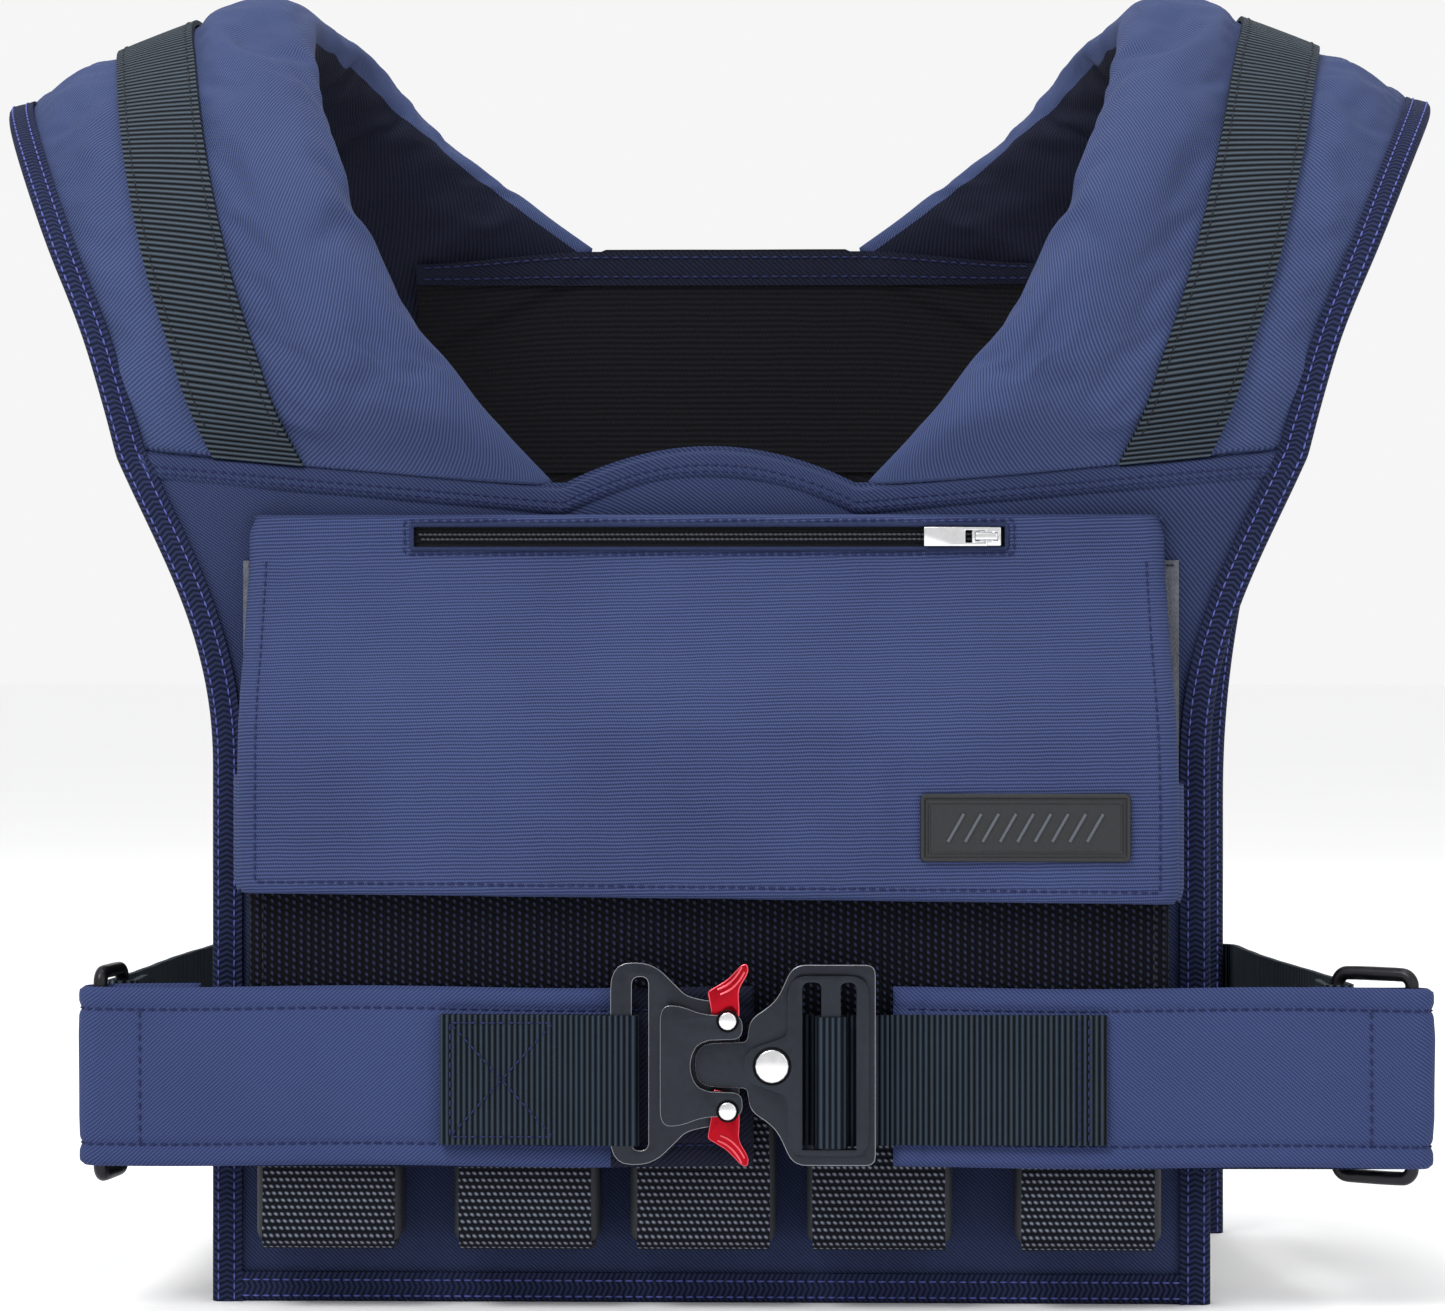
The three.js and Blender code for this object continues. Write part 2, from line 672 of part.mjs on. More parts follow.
// a closed wire ring standing between two upright bars given in X and Y
function ringSolid(front, rear) {
  const span = Math.hypot(rear[0] - front[0], rear[1] - front[1]);
  const low = ringBase + ringRadius;
  const high = ringTop - ringRadius;
  const corner = Math.min(ringCorner, span / 2 - 0.5);
  const line = [
    ...arc([corner, low + corner], corner, 180, 270, 5),
    ...arc([span - corner, low + corner], corner, 270, 360, 5),
    ...arc([span - corner, high - corner], corner, 0, 90, 5),
    ...arc([corner, high - corner], corner, 90, 180, 5),
  ];
  const heading = new THREE.Vector2(rear[0] - front[0], rear[1] - front[1]).divideScalar(span);
  const sides = 10;
  const rings = line.map((point, i) => {
    const before = line[(i + line.length - 1) % line.length];
    const after = line[(i + 1) % line.length];
    const turn = new THREE.Vector2(after[0] - before[0], after[1] - before[1]).normalize();
    return Array.from({ length: sides }, (_, k) => {
      const angle = (k / sides) * Math.PI * 2;
      const inPlane = Math.cos(angle) * ringRadius;
      const across = Math.sin(angle) * ringRadius;
      const s = point[0] - turn.y * inPlane;
      const z = point[1] + turn.x * inPlane;
      const x = front[0] + heading.x * s - heading.y * across;
      const y = front[1] + heading.y * s + heading.x * across;
      return new THREE.Vector3(x, y, z);
    });
  });
  const positions = rings.flat().flatMap((p) => [p.x, p.y, p.z]);
  const index = [];
  for (let r = 0; r < rings.length; r += 1) {
    const next = (r + 1) % rings.length;
    for (let k = 0; k < sides; k += 1) {
      const j = (k + 1) % sides;
      index.push(r * sides + k, r * sides + j, next * sides + j);
      index.push(r * sides + k, next * sides + j, next * sides + k);
    }
  }
  const geometry = new THREE.BufferGeometry();
  geometry.setAttribute('position', new THREE.Float32BufferAttribute(positions, 3));
  geometry.setIndex(index);
  return outward(geometry);
}

const leftRear = [beltLeftBarX + 3, -barDepth + 23];
const rightRear = [beltRightBarX - 21, -barDepth + 13];
add('side_ring_left', ringSolid([beltLeftBarX, -barDepth], leftRear), darkWire);
add('side_ring_right', ringSolid([beltRightBarX, -barDepth], rightRear), darkWire);

// each side strap loops round its ring's rear bar and is sewn to the back panel's face
function strapShape(bar, sign) {
  const bend = ringRadius + gap * 2 + strapThickness / 2;
  const sewn = panelOuter + gap + bindingSkin + gap + strapThickness / 2;
  const edge = backHalfWidth + hemLift;
  const line = [
    [sign * bar[0] - bend, bar[1] + 22],
    ...arc([sign * bar[0], bar[1]], bend, 180, 360, 8),
    [sign * bar[0] + bend - 3, bar[1] + 40],
    [edge + 9, 20],
    [edge + 5, sewn - 22],
    [edge + 4, sewn - 3],
    [edge + 1.6, sewn + 0.4],
    [edge - 2.4, sewn + 0.5],
    [edge - 11, sewn],
    [bandHalfWidth + 7, sewn],
  ];
  return strip(line.map(([x, y]) => [sign * x, y]), strapThickness);
}
add('side_strap_left', upright(strapShape(leftRear, -1), strapBase, strapTop), blackWebbing);
add('side_strap_right', upright(strapShape(rightRear, 1), strapBase, strapTop), blackWebbing);

// left webbing: sewn to the belt, over the strap bar, down its slot and back underneath
const overBar = baseBack + basePlate + gap + webbingThickness / 2;
const doubled = runMid + webbingThickness + gap;
const webbingLeftLine = [
  [webbingLeftEnd, -doubled],
  [barLeft - 16, -doubled],
  [barLeft - 2, -overBar],
  [slotLeft + 0.6, -overBar],
  [slotLeft + 1.4, -overBar + 0.8],
  [slotLeft + 1.4, -runMid - 0.8],
  [slotLeft + 0.6, -runMid],
  [webbingLeftEnd, -runMid],
];
const webbingLeft = strip(webbingLeftLine, webbingThickness);
add('belt_webbing_left', upright(webbingLeft, webbingBase, webbingTop), blackWebbing);
const webbingRightLine = [[webbingRightStart, -runMid], [webbingRightEnd, -runMid]];
const webbingRight = strip(webbingRightLine, webbingThickness);
add('belt_webbing_right', upright(webbingRight, webbingBase, webbingTop), blackWebbing);

// ---------------------------------------------------------------- buckle
function rounded(points, radius) {
  const shape = new THREE.Shape();
  points.forEach((point, i) => {
    const before = points[(i + points.length - 1) % points.length];
    const after = points[(i + 1) % points.length];
    const size = point[2] ?? radius;
    const toward = (other) => {
      const run = new THREE.Vector2(other[0] - point[0], other[1] - point[1]);
      const reach = Math.min(size, run.length() * 0.49);
      return run.setLength(reach).add(new THREE.Vector2(point[0], point[1]));
    };
    const start = toward(before);
    const end = toward(after);
    if (i === 0) shape.moveTo(start.x, start.y);
    else shape.lineTo(start.x, start.y);
    shape.quadraticCurveTo(point[0], point[1], end.x, end.y);
  });
  return shape;
}

// an outline given around the buckle's centre
function buckleShape(points, radius) {
  return rounded(points.map(([x, z, r]) => [x, buckleHeight + z, r]), radius);
}

function symmetric(points) {
  return [...points, ...points.map(([x, z, r]) => [x, -z, r]).reverse()];
}

function buckleBox(xLow, xHigh, zLow, zHigh, near, far) {
  return toSolid(box(xLow, xHigh, -far, -near, buckleHeight + zLow, buckleHeight + zHigh));
}

const high = buckleHalfHeight;
const baseOutline = symmetric([
  [coverRight - 1, leverPivotRise + 4, 3],
  [coverLeft + 8, 20, 5],
  [coverLeft + 5, 23, 4],
  [-16, high, 5],
  [barLeft, high, 8],
]);

// a hole right through a plate, as tall above the buckle's centre as below it, with round corners
function roundSlot(xLow, xHigh, halfHeight, [lowRadius, highRadius], near, far) {
  const foot = [[xLow, -halfHeight, lowRadius], [xHigh, -halfHeight, lowRadius]];
  const head = [[xHigh, halfHeight, highRadius], [xLow, halfHeight, highRadius]];
  return toSolid(slab(buckleShape([...foot, ...head], highRadius), -near + 1, -far - 1));
}

function through(solid, x, z, radius, near, far) {
  return solid.subtract(toSolid(pin(x, buckleHeight + z, radius, -far - 1, -near + 1)));
}

function drillPivots(solid, near, far) {
  const upper = through(solid, leverPivotX, leverPivotRise, pivotRadius + gap, near, far);
  return through(upper, leverPivotX, -leverPivotRise, pivotRadius + gap, near, far);
}

const baseFront = baseBack + basePlate;
const slotRound = (slotRight - slotLeft) / 2;
const strapSlot = roundSlot(slotLeft, slotRight, slotHalfHeight, [slotRound, slotRound], baseBack, baseFront);
const baseSheet = toSolid(slab(buckleShape(baseOutline, 3), -baseBack, -baseFront));
add('buckle_base', drillPivots(baseSheet.subtract(strapSlot), baseBack, baseFront), gunmetal);

const coverOutline = symmetric([
  [coverRight - 10, notchHalfHeight, 0.5],
  [coverRight, notchHalfHeight + 0.4, 3],
  [coverRight, 15, 3],
  [coverLeft + 13, 15.2, 4],
  [coverLeft + 6, 18, 4],
  [coverLeft, 18, 5],
]);
coverOutline.push([coverRight - 14, -notchHalfHeight + 1.5, 3], [coverRight - 16, 0, 4]);
coverOutline.push([coverRight - 14, notchHalfHeight - 1.5, 3]);
const coverSheet = toSolid(slab(buckleShape(coverOutline, 3), -coverBack, -coverFront));
// a raised wall at the back of the cover stands on the base
const coverWall = buckleBox(coverLeft + 1, coverLeft + 6, -14, 14, baseFront + gap, coverBack + 0.5);
add('buckle_cover', drillPivots(coverSheet.add(coverWall), coverBack, coverFront), gunmetal);

for (const [label, sign] of [['upper', 1], ['lower', -1]]) {
  const z = buckleHeight + sign * leverPivotRise;
  const shank = toSolid(pin(leverPivotX, z, pivotRadius, -coverFront - 0.5, -baseBack));
  const head = toSolid(pin(leverPivotX, z, pivotHead, -coverFront - rivetProud, -coverFront - gap));
  add(`lever_rivet_${label}`, shank.add(head), bareSteel);
  // a claw outside the housing and a short catch beside the tongue
  const claw = [
    [2.2, -6.2, 1],
    [leverPivotX + 3, -4.6, 1.5],
    [leverPivotX + 3.6, 3, 2],
    [9.8, 9, 2],
    [13, 14.4, 2],
    [12.4, 17, 1],
    [10.6, 16.6, 1],
    [6.2, 12, 2],
    [0.4, 8.6, 1],
    [1.4, 3, 2],
  ];
  const placed = claw.map(([x, rise, r]) => [x, sign * (leverPivotRise + rise), r]);
  const lever = toSolid(slab(buckleShape(placed, 1), -tongueBack - 0.2, -tongueBack - tonguePlate + 0.2));
  const bored = through(lever, leverPivotX, sign * leverPivotRise, pivotRadius + gap, tongueBack, coverBack);
  add(`release_lever_${label}`, bored, redAnodised);
}

const tongueFront = tongueBack + tonguePlate;
const tongueOutline = symmetric([
  [tongueRight, high - 0.3, 3],
  [frameLeft + 4, high - 0.3, 4],
  [frameLeft - 1, 19, 4],
  [coverRight + 2, 13.5, 3],
  [coverRight + 1.2, 7, 1.5],
  [tongueLeft + 3, 6.6, 4],
  [tongueLeft, 4, 3],
]);
tongueOutline.splice(7, 0, [tongueLeft - 0.4, 0, 3]);
const windowRight = adjusterSlotRight + 1.5;
const tongueWindow = roundSlot(frameLeft + 5, windowRight, 26.5, [1, 3], tongueBack, tongueFront);
const tongueSheet = toSolid(slab(buckleShape(tongueOutline, 3), -tongueBack, -tongueFront));
const tongueCut = tongueSheet.subtract(tongueWindow);
add('buckle_tongue', through(tongueCut, centreRivetX, 0, 2.5 + gap, tongueBack, tongueFront), gunmetal);

const frameBack = tongueFront + gap;
const frameFront = frameBack + coverPlate;
const frameOutline = symmetric([
  [tongueRight - 2, 26.8, 6],
  [frameLeft + 2.5, 26.8, 6],
  [frameLeft + 2.5, 9, 3],
  [centreRivetX + 0.5, 7.4, 4],
]);
frameOutline.splice(4, 0, [centreRivetX - 8.2, 4.5, 4], [centreRivetX - 8.2, -4.5, 4]);
// the webbing fills the slots' lower ends, so only their upper ends are round
const slotEnds = [0.3, 2.3];
const [slotNear, slotFar] = [
  [adjusterSlotLeft, adjusterBarLeft],
  [adjusterBarRight, adjusterSlotRight],
].map(([left, right]) => roundSlot(left, right, adjusterSlotHalf, slotEnds, frameBack, frameFront));
const barFace = frameFront - 1.5;
const [barNear, barFar] = [adjusterBarLeft - 1, adjusterBarRight + 1];
const lowBar = buckleBox(barNear, barFar, -adjusterSlotHalf, adjusterSlotHalf, barFace, frameFront + 1);
const frameSheet = toSolid(slab(buckleShape(frameOutline, 4), -frameBack, -frameFront));
const frameCut = frameSheet.subtract(slotNear).subtract(slotFar).subtract(lowBar);
add('adjuster_frame', through(frameCut, centreRivetX, 0, 2.5 + gap, frameBack, frameFront), gunmetal);

const rivetShank = toSolid(pin(centreRivetX, buckleHeight, 2.5, -frameFront - 0.5, -tongueBack));
const [headFace, headBack] = [-frameFront - rivetProud, -frameFront - gap];
const rivetHead = toSolid(pin(centreRivetX, buckleHeight, centreRivetHead, headFace, headBack));
add('centre_rivet', rivetShank.add(rivetHead), bareSteel);

// the adjustable webbing turns round the frame's centre bar
const legDepth = runMid + webbingThickness + gap;
const barWrap = barFace + gap + webbingThickness / 2;
const leftTurn = adjusterBarLeft - gap - webbingThickness / 2;
const rightTurn = adjusterBarRight + gap + webbingThickness / 2;
const loopLine = [
  [tongueRight + 4, -legDepth],
  [leftTurn + 1, -legDepth],
  [leftTurn, -legDepth - 1],
  [leftTurn, -barWrap + 1],
  [leftTurn + 1, -barWrap],
  [rightTurn - 1, -barWrap],
  [rightTurn, -barWrap + 1],
  [rightTurn, -tongueBack - 1.4],
  [rightTurn + 1, -tongueBack - 0.4],
  [adjusterSlotRight + 0.6, -tongueBack - 0.4],
];
add('adjuster_webbing', upright(strip(loopLine, webbingThickness), webbingBase, webbingTop), blackWebbing);

// the origin stands midway between the foremost rivet heads and the back flap
vest.position.y = (coverFront + rivetProud - flapFace) / 2;

export default vest;
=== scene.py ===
import math

import bpy
import numpy as np
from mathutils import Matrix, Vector


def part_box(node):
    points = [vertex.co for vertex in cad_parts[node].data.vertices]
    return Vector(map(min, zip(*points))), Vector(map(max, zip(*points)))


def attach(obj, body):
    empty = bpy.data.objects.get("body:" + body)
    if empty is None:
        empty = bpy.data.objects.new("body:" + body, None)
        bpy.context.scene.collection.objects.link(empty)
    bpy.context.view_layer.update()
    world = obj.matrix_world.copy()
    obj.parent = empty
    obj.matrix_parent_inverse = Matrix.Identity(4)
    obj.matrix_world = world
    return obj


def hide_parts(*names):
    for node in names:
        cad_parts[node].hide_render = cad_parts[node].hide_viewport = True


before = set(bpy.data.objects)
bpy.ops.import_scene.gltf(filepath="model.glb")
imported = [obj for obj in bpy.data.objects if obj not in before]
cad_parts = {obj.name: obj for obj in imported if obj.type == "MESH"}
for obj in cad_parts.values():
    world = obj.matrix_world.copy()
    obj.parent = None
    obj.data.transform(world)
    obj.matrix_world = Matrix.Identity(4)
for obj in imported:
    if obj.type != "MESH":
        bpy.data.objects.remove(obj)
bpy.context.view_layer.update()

# ---------------------------------------------------------------- the studio
# A pale floor under a white sky, two big soft boxes in front and one above. The camera looks level
# at the middle of the vest from a little to its right, through a long lens.
MM = 0.001


class Term:
    """One value in a material's nodes. Its operators add Math nodes to the same material."""

    def __init__(self, tree, socket=None):
        self.tree = tree
        self.socket = socket

    def node(self, kind, settings=None, inputs=None, output=0):
        """Adds any other node: settings first, then the values or links of its sockets."""
        made = self.tree.nodes.new("ShaderNode" + kind)
        for key, value in (settings or {}).items():
            setattr(made, key, value)
        for key, value in (inputs or {}).items():
            self.feed(made.inputs[key], value)
        return Term(self.tree, made.outputs[output])

    def feed(self, socket, value):
        if isinstance(value, Term):
            self.tree.links.new(value.socket, socket)
        elif isinstance(value, (tuple, list)) and len(socket.default_value) == 4 and len(value) == 3:
            socket.default_value = (*value, 1)
        else:
            socket.default_value = value

    def math(self, operation, *others):
        values = {i: value for i, value in enumerate((self, *others))}
        return self.node("Math", {"operation": operation}, values)

    def __add__(self, other):
        return self.math("ADD", other)

    def __sub__(self, other):
        return self.math("SUBTRACT", other)

    def __mul__(self, other):
        return self.math("MULTIPLY", other)

    def __rsub__(self, other):
        return self.node("Math", {"operation": "SUBTRACT"}, {0: other, 1: self})

    __radd__ = __add__
    __rmul__ = __mul__

    def wave(self, turns):
        """0 to 1 and back, that many times for each unit."""
        return (self * (turns * math.tau)).math("SINE") * 0.5 + 0.5

    def blend(self, low, high):
        """A colour between two, by this value."""
        mixed = {"Factor": self, 6: low, 7: high}
        return self.node("Mix", {"data_type": "RGBA", "clamp_factor": True}, mixed, 2)

    def noise(self, scale, detail=2.0):
        settings = {"noise_dimensions": "3D"}
        inputs = {"Vector": self, "Scale": scale, "Detail": detail, "Roughness": 0.55}
        return self.node("TexNoise", settings, inputs)

    def part(self, axis):
        return self.node("SeparateXYZ", {}, {"Vector": self}, axis)


def finish(name, **fixed):
    """A material with one Principled shader. fixed gives sockets that are the same all over."""
    material = bpy.data.materials.new(name)
    material.use_nodes = True
    tree = material.node_tree
    tree.nodes.clear()
    shader = tree.nodes.new("ShaderNodeBsdfPrincipled")
    output = tree.nodes.new("ShaderNodeOutputMaterial")
    tree.links.new(shader.outputs[0], output.inputs[0])
    term = Term(tree)
    for key, value in fixed.items():
        term.feed(shader.inputs[key.replace("_", " ")], value)

    def paint(socket, value):
        term.feed(shader.inputs[socket], value)

    return material, term, paint


def relief(term, height, depth, strength=1.0):
    """A normal from a height that runs 0 to 1 over that many metres."""
    return term.node("Bump", {}, {"Height": height, "Distance": depth, "Strength": strength})


def place_of(term):
    return term.node("TexCoord", {}, {}, 3)


def cloth_place(term):
    """Metres along and across the cloth, from the piece's UV map."""
    mapped = term.node("UVMap", {"uv_map": "UVMap"})
    return mapped, mapped.part(0), mapped.part(1)


def deselect():
    bpy.ops.object.select_all(action="DESELECT")


deselect()
bpy.ops.mesh.primitive_plane_add(size=60, location=(0, 0, 0))
floor = bpy.context.object
floor.name = "studio_floor"
floor_paper, floor_term, floor_paint = finish("floor_paper", Roughness=0.9)
floor_shade = place_of(floor_term).noise(3.0)
floor_paint("Base Color", floor_shade.blend((0.96, 0.96, 0.965), (0.985, 0.985, 0.99)))
floor.data.materials.append(floor_paper)

CAMERA_TURN = math.radians(1.6)
CAMERA_REACH = 1.4
CAMERA_RISE = 0.1988
CAMERA_STEP = 0.0044
CAMERA_LENS = 115.1
flap_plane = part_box("front_flap")[0].y + 0.015
forward = Vector((math.sin(CAMERA_TURN), -math.cos(CAMERA_TURN), 0))
rightward = Vector((math.cos(CAMERA_TURN), math.sin(CAMERA_TURN), 0))
camera_data = bpy.data.cameras.new("camera")
camera_data.sensor_width = 36
camera_data.lens = CAMERA_LENS
camera = bpy.data.objects.new("camera", camera_data)
camera.location = Vector((0, flap_plane, CAMERA_RISE)) + forward * CAMERA_REACH + rightward * CAMERA_STEP
camera.rotation_euler = (math.radians(90), 0, CAMERA_TURN)
bpy.context.scene.collection.objects.link(camera)
bpy.context.scene.camera = camera


def soft_box(name, place, size, power):
    light = bpy.data.lights.new(name, "AREA")
    light.shape = "RECTANGLE"
    light.size, light.size_y = size
    light.energy = power
    holder = bpy.data.objects.new(name, light)
    holder.location = place
    aim = Vector((0, 0, 0.24)) - Vector(place)
    holder.rotation_euler = aim.to_track_quat("-Z", "Y").to_euler()
    bpy.context.scene.collection.objects.link(holder)


soft_box("key_light", (-0.9, -1.5, 2.0), (1.0, 0.8), 34)
soft_box("fill_light", (1.5, -1.8, 1.0), (1.2, 1.2), 5)
soft_box("top_light", (0, 0.1, 2.2), (1.2, 1.0), 16)
soft_box("rear_light", (0.5, 2.4, 1.4), (1.4, 1.2), 5)

sky = bpy.data.worlds.new("sky")
bpy.context.scene.world = sky
sky.use_nodes = True
sky.node_tree.nodes["Background"].inputs["Color"].default_value = (1, 1, 1, 1)
sky.node_tree.nodes["Background"].inputs["Strength"].default_value = 0.92
bpy.context.scene.view_settings.view_transform = "Standard"

# ---------------------------------------------------------------- the shared outlines
# The two panels and the shoulder arches are cut to these lines. Each is measured from the middle
# of the vest, in millimetres, and the depth between the panels comes from the frame.
front_low, front_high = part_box("front_panel")
back_low, back_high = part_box("back_panel")
MIDDLE_Y = (front_high.y + back_low.y) / 2 / MM
PANEL_DEPTH = (back_low.y + back_high.y) / 2 / MM - MIDDLE_Y
PANEL_HALF = (front_high.y - front_low.y) / 2 / MM
FRONT_HALF_WIDTH = 152.0
BACK_HALF_WIDTH = 170.0
HEM_LIFT = 1.5


def bezier(points, share):
    a, b, c, d = [np.array(p, float) for p in points]
    t = np.asarray(share)[:, None]
    return (1 - t) ** 3 * a + 3 * (1 - t) ** 2 * t * b + 3 * (1 - t) * t**2 * c + t**3 * d


def side_line(half_width, waist, top_x, top_z):
    """A panel's side edge, as X and Z from the hem to the yoke."""
    rise = top_z - waist
    flare = top_x - half_width
    handles = [
        (half_width, waist),
        (half_width, waist + rise * 0.42),
        (top_x - flare * 0.45, top_z - rise * 0.32),
        (top_x, top_z),
    ]
    straight = np.column_stack([np.full(30, half_width), np.linspace(HEM_LIFT, waist, 30)])
    return np.vstack([straight, bezier(handles, np.linspace(0, 1, 31)[1:])])


front_side = side_line(FRONT_HALF_WIDTH, 165, 182, 260.5)
back_side = side_line(BACK_HALF_WIDTH, 150, 186, 266.5)


def arch_line(points):
    """A smooth line through points, as 800 places at even steps along it."""
    p = np.array(points, float)
    p = np.vstack([2 * p[0] - p[1], p, 2 * p[-1] - p[-2]])
    dense = []
    for i in range(1, len(p) - 2):
        p0, p1, p2, p3 = p[i - 1 : i + 3]
        d0, d1, d2 = [np.linalg.norm(b - a) ** 0.5 for a, b in ((p0, p1), (p1, p2), (p2, p3))]
        start = ((p1 - p0) / d0 - (p2 - p0) / (d0 + d1) + (p2 - p1) / d1) * d1
        stop = ((p2 - p1) / d1 - (p3 - p1) / (d1 + d2) + (p3 - p2) / d2) * d1
        t = np.linspace(0, 1, 60, endpoint=i == len(p) - 3)[:, None]
        bend = -3 * p1 + 3 * p2 - 2 * start - stop
        twist = 2 * p1 - 2 * p2 + start + stop
        dense.append(p1 + start * t + bend * t**2 + twist * t**3)
    return even(np.vstack(dense), 800)


def even(line, count):
    """The same line as that many points at even steps."""
    steps = np.linalg.norm(np.diff(line, axis=0), axis=1)
    run = np.concatenate([[0], np.cumsum(steps)])
    wanted = np.linspace(0, run[-1], count)
    return np.column_stack([np.interp(wanted, run, line[:, k]) for k in range(line.shape[1])])


def length_of(line):
    return np.linalg.norm(np.diff(line, axis=0), axis=1).sum()


ARCH_INNER = [
    (46, -88, 250), (70, -94, 276), (92, -95, 308), (110, -85, 346), (121, -60, 382),
    (126, -24, 404), (124, 14, 407), (114, 50, 398), (92, 75, 376), (64, 86, 353), (43, 88, 338),
]
ARCH_OUTER = [
    (182, -88, 261.5), (192, -89, 296), (205, -80, 326), (217, -58, 352), (226, -28, 369),
    (230, 5, 374), (228, 38, 366), (220, 64, 346), (206, 81, 318), (193, 88, 288), (186, 88, 267.5),
]
depth_stretch = np.array([1, PANEL_DEPTH / 88, 1])
inner_line = arch_line(np.array(ARCH_INNER) * depth_stretch)
outer_line = arch_line(np.array(ARCH_OUTER) * depth_stretch)


def along_line(line, t):
    where = np.clip(t, 0, 1) * (len(line) - 1)
    return np.column_stack([np.interp(where, np.arange(len(line)), line[:, k]) for k in range(3)])


def arch_point(t, u):
    """The middle of a shoulder pad: t runs from front to back and u from the neck outwards."""
    return along_line(inner_line, t) * (1 - u)[:, None] + along_line(outer_line, t) * u[:, None]


def unit(v):
    return v / np.linalg.norm(v, axis=-1, keepdims=True)


def arch_normal(t, u):
    step = 0.004
    ahead = arch_point(np.minimum(t + step, 1), u) - arch_point(np.maximum(t - step, 0), u)
    across = along_line(outer_line, t) - along_line(inner_line, t)
    return -unit(np.cross(ahead, across))


def arch_width(t):
    return np.linalg.norm(along_line(outer_line, t) - along_line(inner_line, t), axis=1)


def to_frame(points, side=1):
    """Millimetres from the vest's middle plane to metres in the frame, mirrored for side -1."""
    moved = np.array(points, float) * (side, 1, 1)
    moved[:, 1] += MIDDLE_Y
    return moved * MM


def smoothstep(x, low, high):
    t = np.clip((x - low) / (high - low), 0, 1)
    return t * t * (3 - 2 * t)


def cloth_grid(name, cuts, size, place, side=1):
    """A sheet of cuts[0] by cuts[1] faces. place gives millimetres for shares u and v of the
    sheet, and its UV map is in metres."""
    deselect()
    bpy.ops.mesh.primitive_grid_add(x_subdivisions=cuts[0], y_subdivisions=cuts[1], size=1)
    sheet = bpy.context.object
    sheet.name = name
    flat = np.empty(len(sheet.data.vertices) * 3, np.float32)
    sheet.data.vertices.foreach_get("co", flat)
    flat = flat.reshape(-1, 3)
    u = np.clip(flat[:, 0] + 0.5, 0, 1).astype(float)
    v = np.clip(flat[:, 1] + 0.5, 0, 1).astype(float)
    moved = to_frame(place(u, v), side)
    sheet.data.vertices.foreach_set("co", moved.astype(np.float32).ravel())
    map_data = sheet.data.uv_layers.active.data
    marks = np.empty(len(map_data) * 2, np.float32)
    map_data.foreach_get("uv", marks)
    marks = marks.reshape(-1, 2) * (size[0] * MM, size[1] * MM)
    map_data.foreach_set("uv", marks.astype(np.float32).ravel())
    if side < 0:
        sheet.data.flip_normals()
    sheet.data.update()
    return sheet


def use(obj):
    deselect()
    obj.select_set(True)
    bpy.context.view_layer.objects.active = obj


def shape_with(obj, kind, **settings):
    """Adds a modifier and applies it."""
    use(obj)
    bpy.ops.object.modifier_add(type=kind)
    modifier = obj.modifiers[-1]
    for key, value in settings.items():
        setattr(modifier, key, value)
    bpy.ops.object.modifier_apply(modifier=modifier.name)


def smooth(obj, angle=50):
    use(obj)
    bpy.ops.object.shade_smooth_by_angle(angle=math.radians(angle))


def finished(obj, material, body, slot_name, *nodes, turn=50):
    if material:
        obj.data.materials.append(material)
    smooth(obj, turn)
    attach(obj, body)
    if nodes:
        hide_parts(*nodes)


# ---------------------------------------------------------------- cloths and threads
# The shell is a dense navy polyester twill and the lining a near black rib. The binding is sewn
# with a periwinkle thread that stands out on it, and the other seams with navy or black thread.
def twill(name, base, deep, pitch, slope):
    material, term, paint = finish(name, Specular_IOR_Level=0.14)
    cloth, along, across = cloth_place(term)
    wander = cloth.noise(60.0) * 0.0009
    rib = (across + along * slope + wander).wave(1 / (pitch * math.hypot(1, slope)))
    cross = (along - across * 0.25).wave(1 / (pitch * 0.62))
    cloud = place_of(term).noise(16.0, 4.0)
    weave = rib * 0.7 + cross * 0.3
    shade = weave * 0.8 + cloud * 0.3 - 0.06
    paint("Base Color", shade.blend(deep, base))
    paint("Roughness", cloud * 0.12 + 0.78)
    paint("Normal", relief(term, weave, pitch * 0.22, 0.8))
    return material


navy_twill = twill("navy_twill", (0.065, 0.088, 0.214), (0.0055, 0.0095, 0.034), 0.00108, 0.03)
# A lighter copy of the navy twill for the pads: painted light, where the light from above falls on their
# tops.
lit_pad_twill = twill("lit_pad_twill", (0.072, 0.1, 0.226), (0.011, 0.0165, 0.052), 0.0009, 1.1)
# A darker copy of the same navy twill for the panels and yoke hems: painted shade, where they lie behind the
# flaps, slings and belt.
shaded_panel_twill = twill("shaded_panel_twill", (0.046, 0.064, 0.156), (0.0035, 0.006, 0.022), 0.001, 0.8)
navy_belt = twill("navy_belt_twill", (0.055, 0.078, 0.2), (0.009, 0.0145, 0.052), 0.0009, 0.9)
# A near black copy of the navy twill, used as painted shade: under the pads, on the neck band and on the belt
# behind the buckle.
shaded_twill = twill("shaded_twill", (0.013, 0.016, 0.036), (0.002, 0.0025, 0.008), 0.0013, 0.9)
dark_lining = twill("dark_lining", (0.0085, 0.0088, 0.012), (0.002, 0.002, 0.003), 0.0019, 0.0)


def thread_finish(name, colour):
    material, term, paint = finish(name, Roughness=0.65, Specular_IOR_Level=0.25)
    twist = place_of(term).noise(900.0)
    dark = tuple(c * 0.55 for c in colour)
    paint("Base Color", twist.blend(dark, colour))
    paint("Normal", relief(term, twist, 0.0001, 0.6))
    return material


periwinkle_thread = thread_finish("periwinkle_thread", (0.1, 0.12, 0.42))
navy_thread = thread_finish("navy_thread", (0.012, 0.018, 0.085))
black_thread = thread_finish("black_thread", (0.012, 0.013, 0.018))


def facing_y(row, facing):
    """A row of points to sew, with its outward direction along Y."""
    return row, np.tile([0.0, float(facing), 0.0], (len(row), 1))


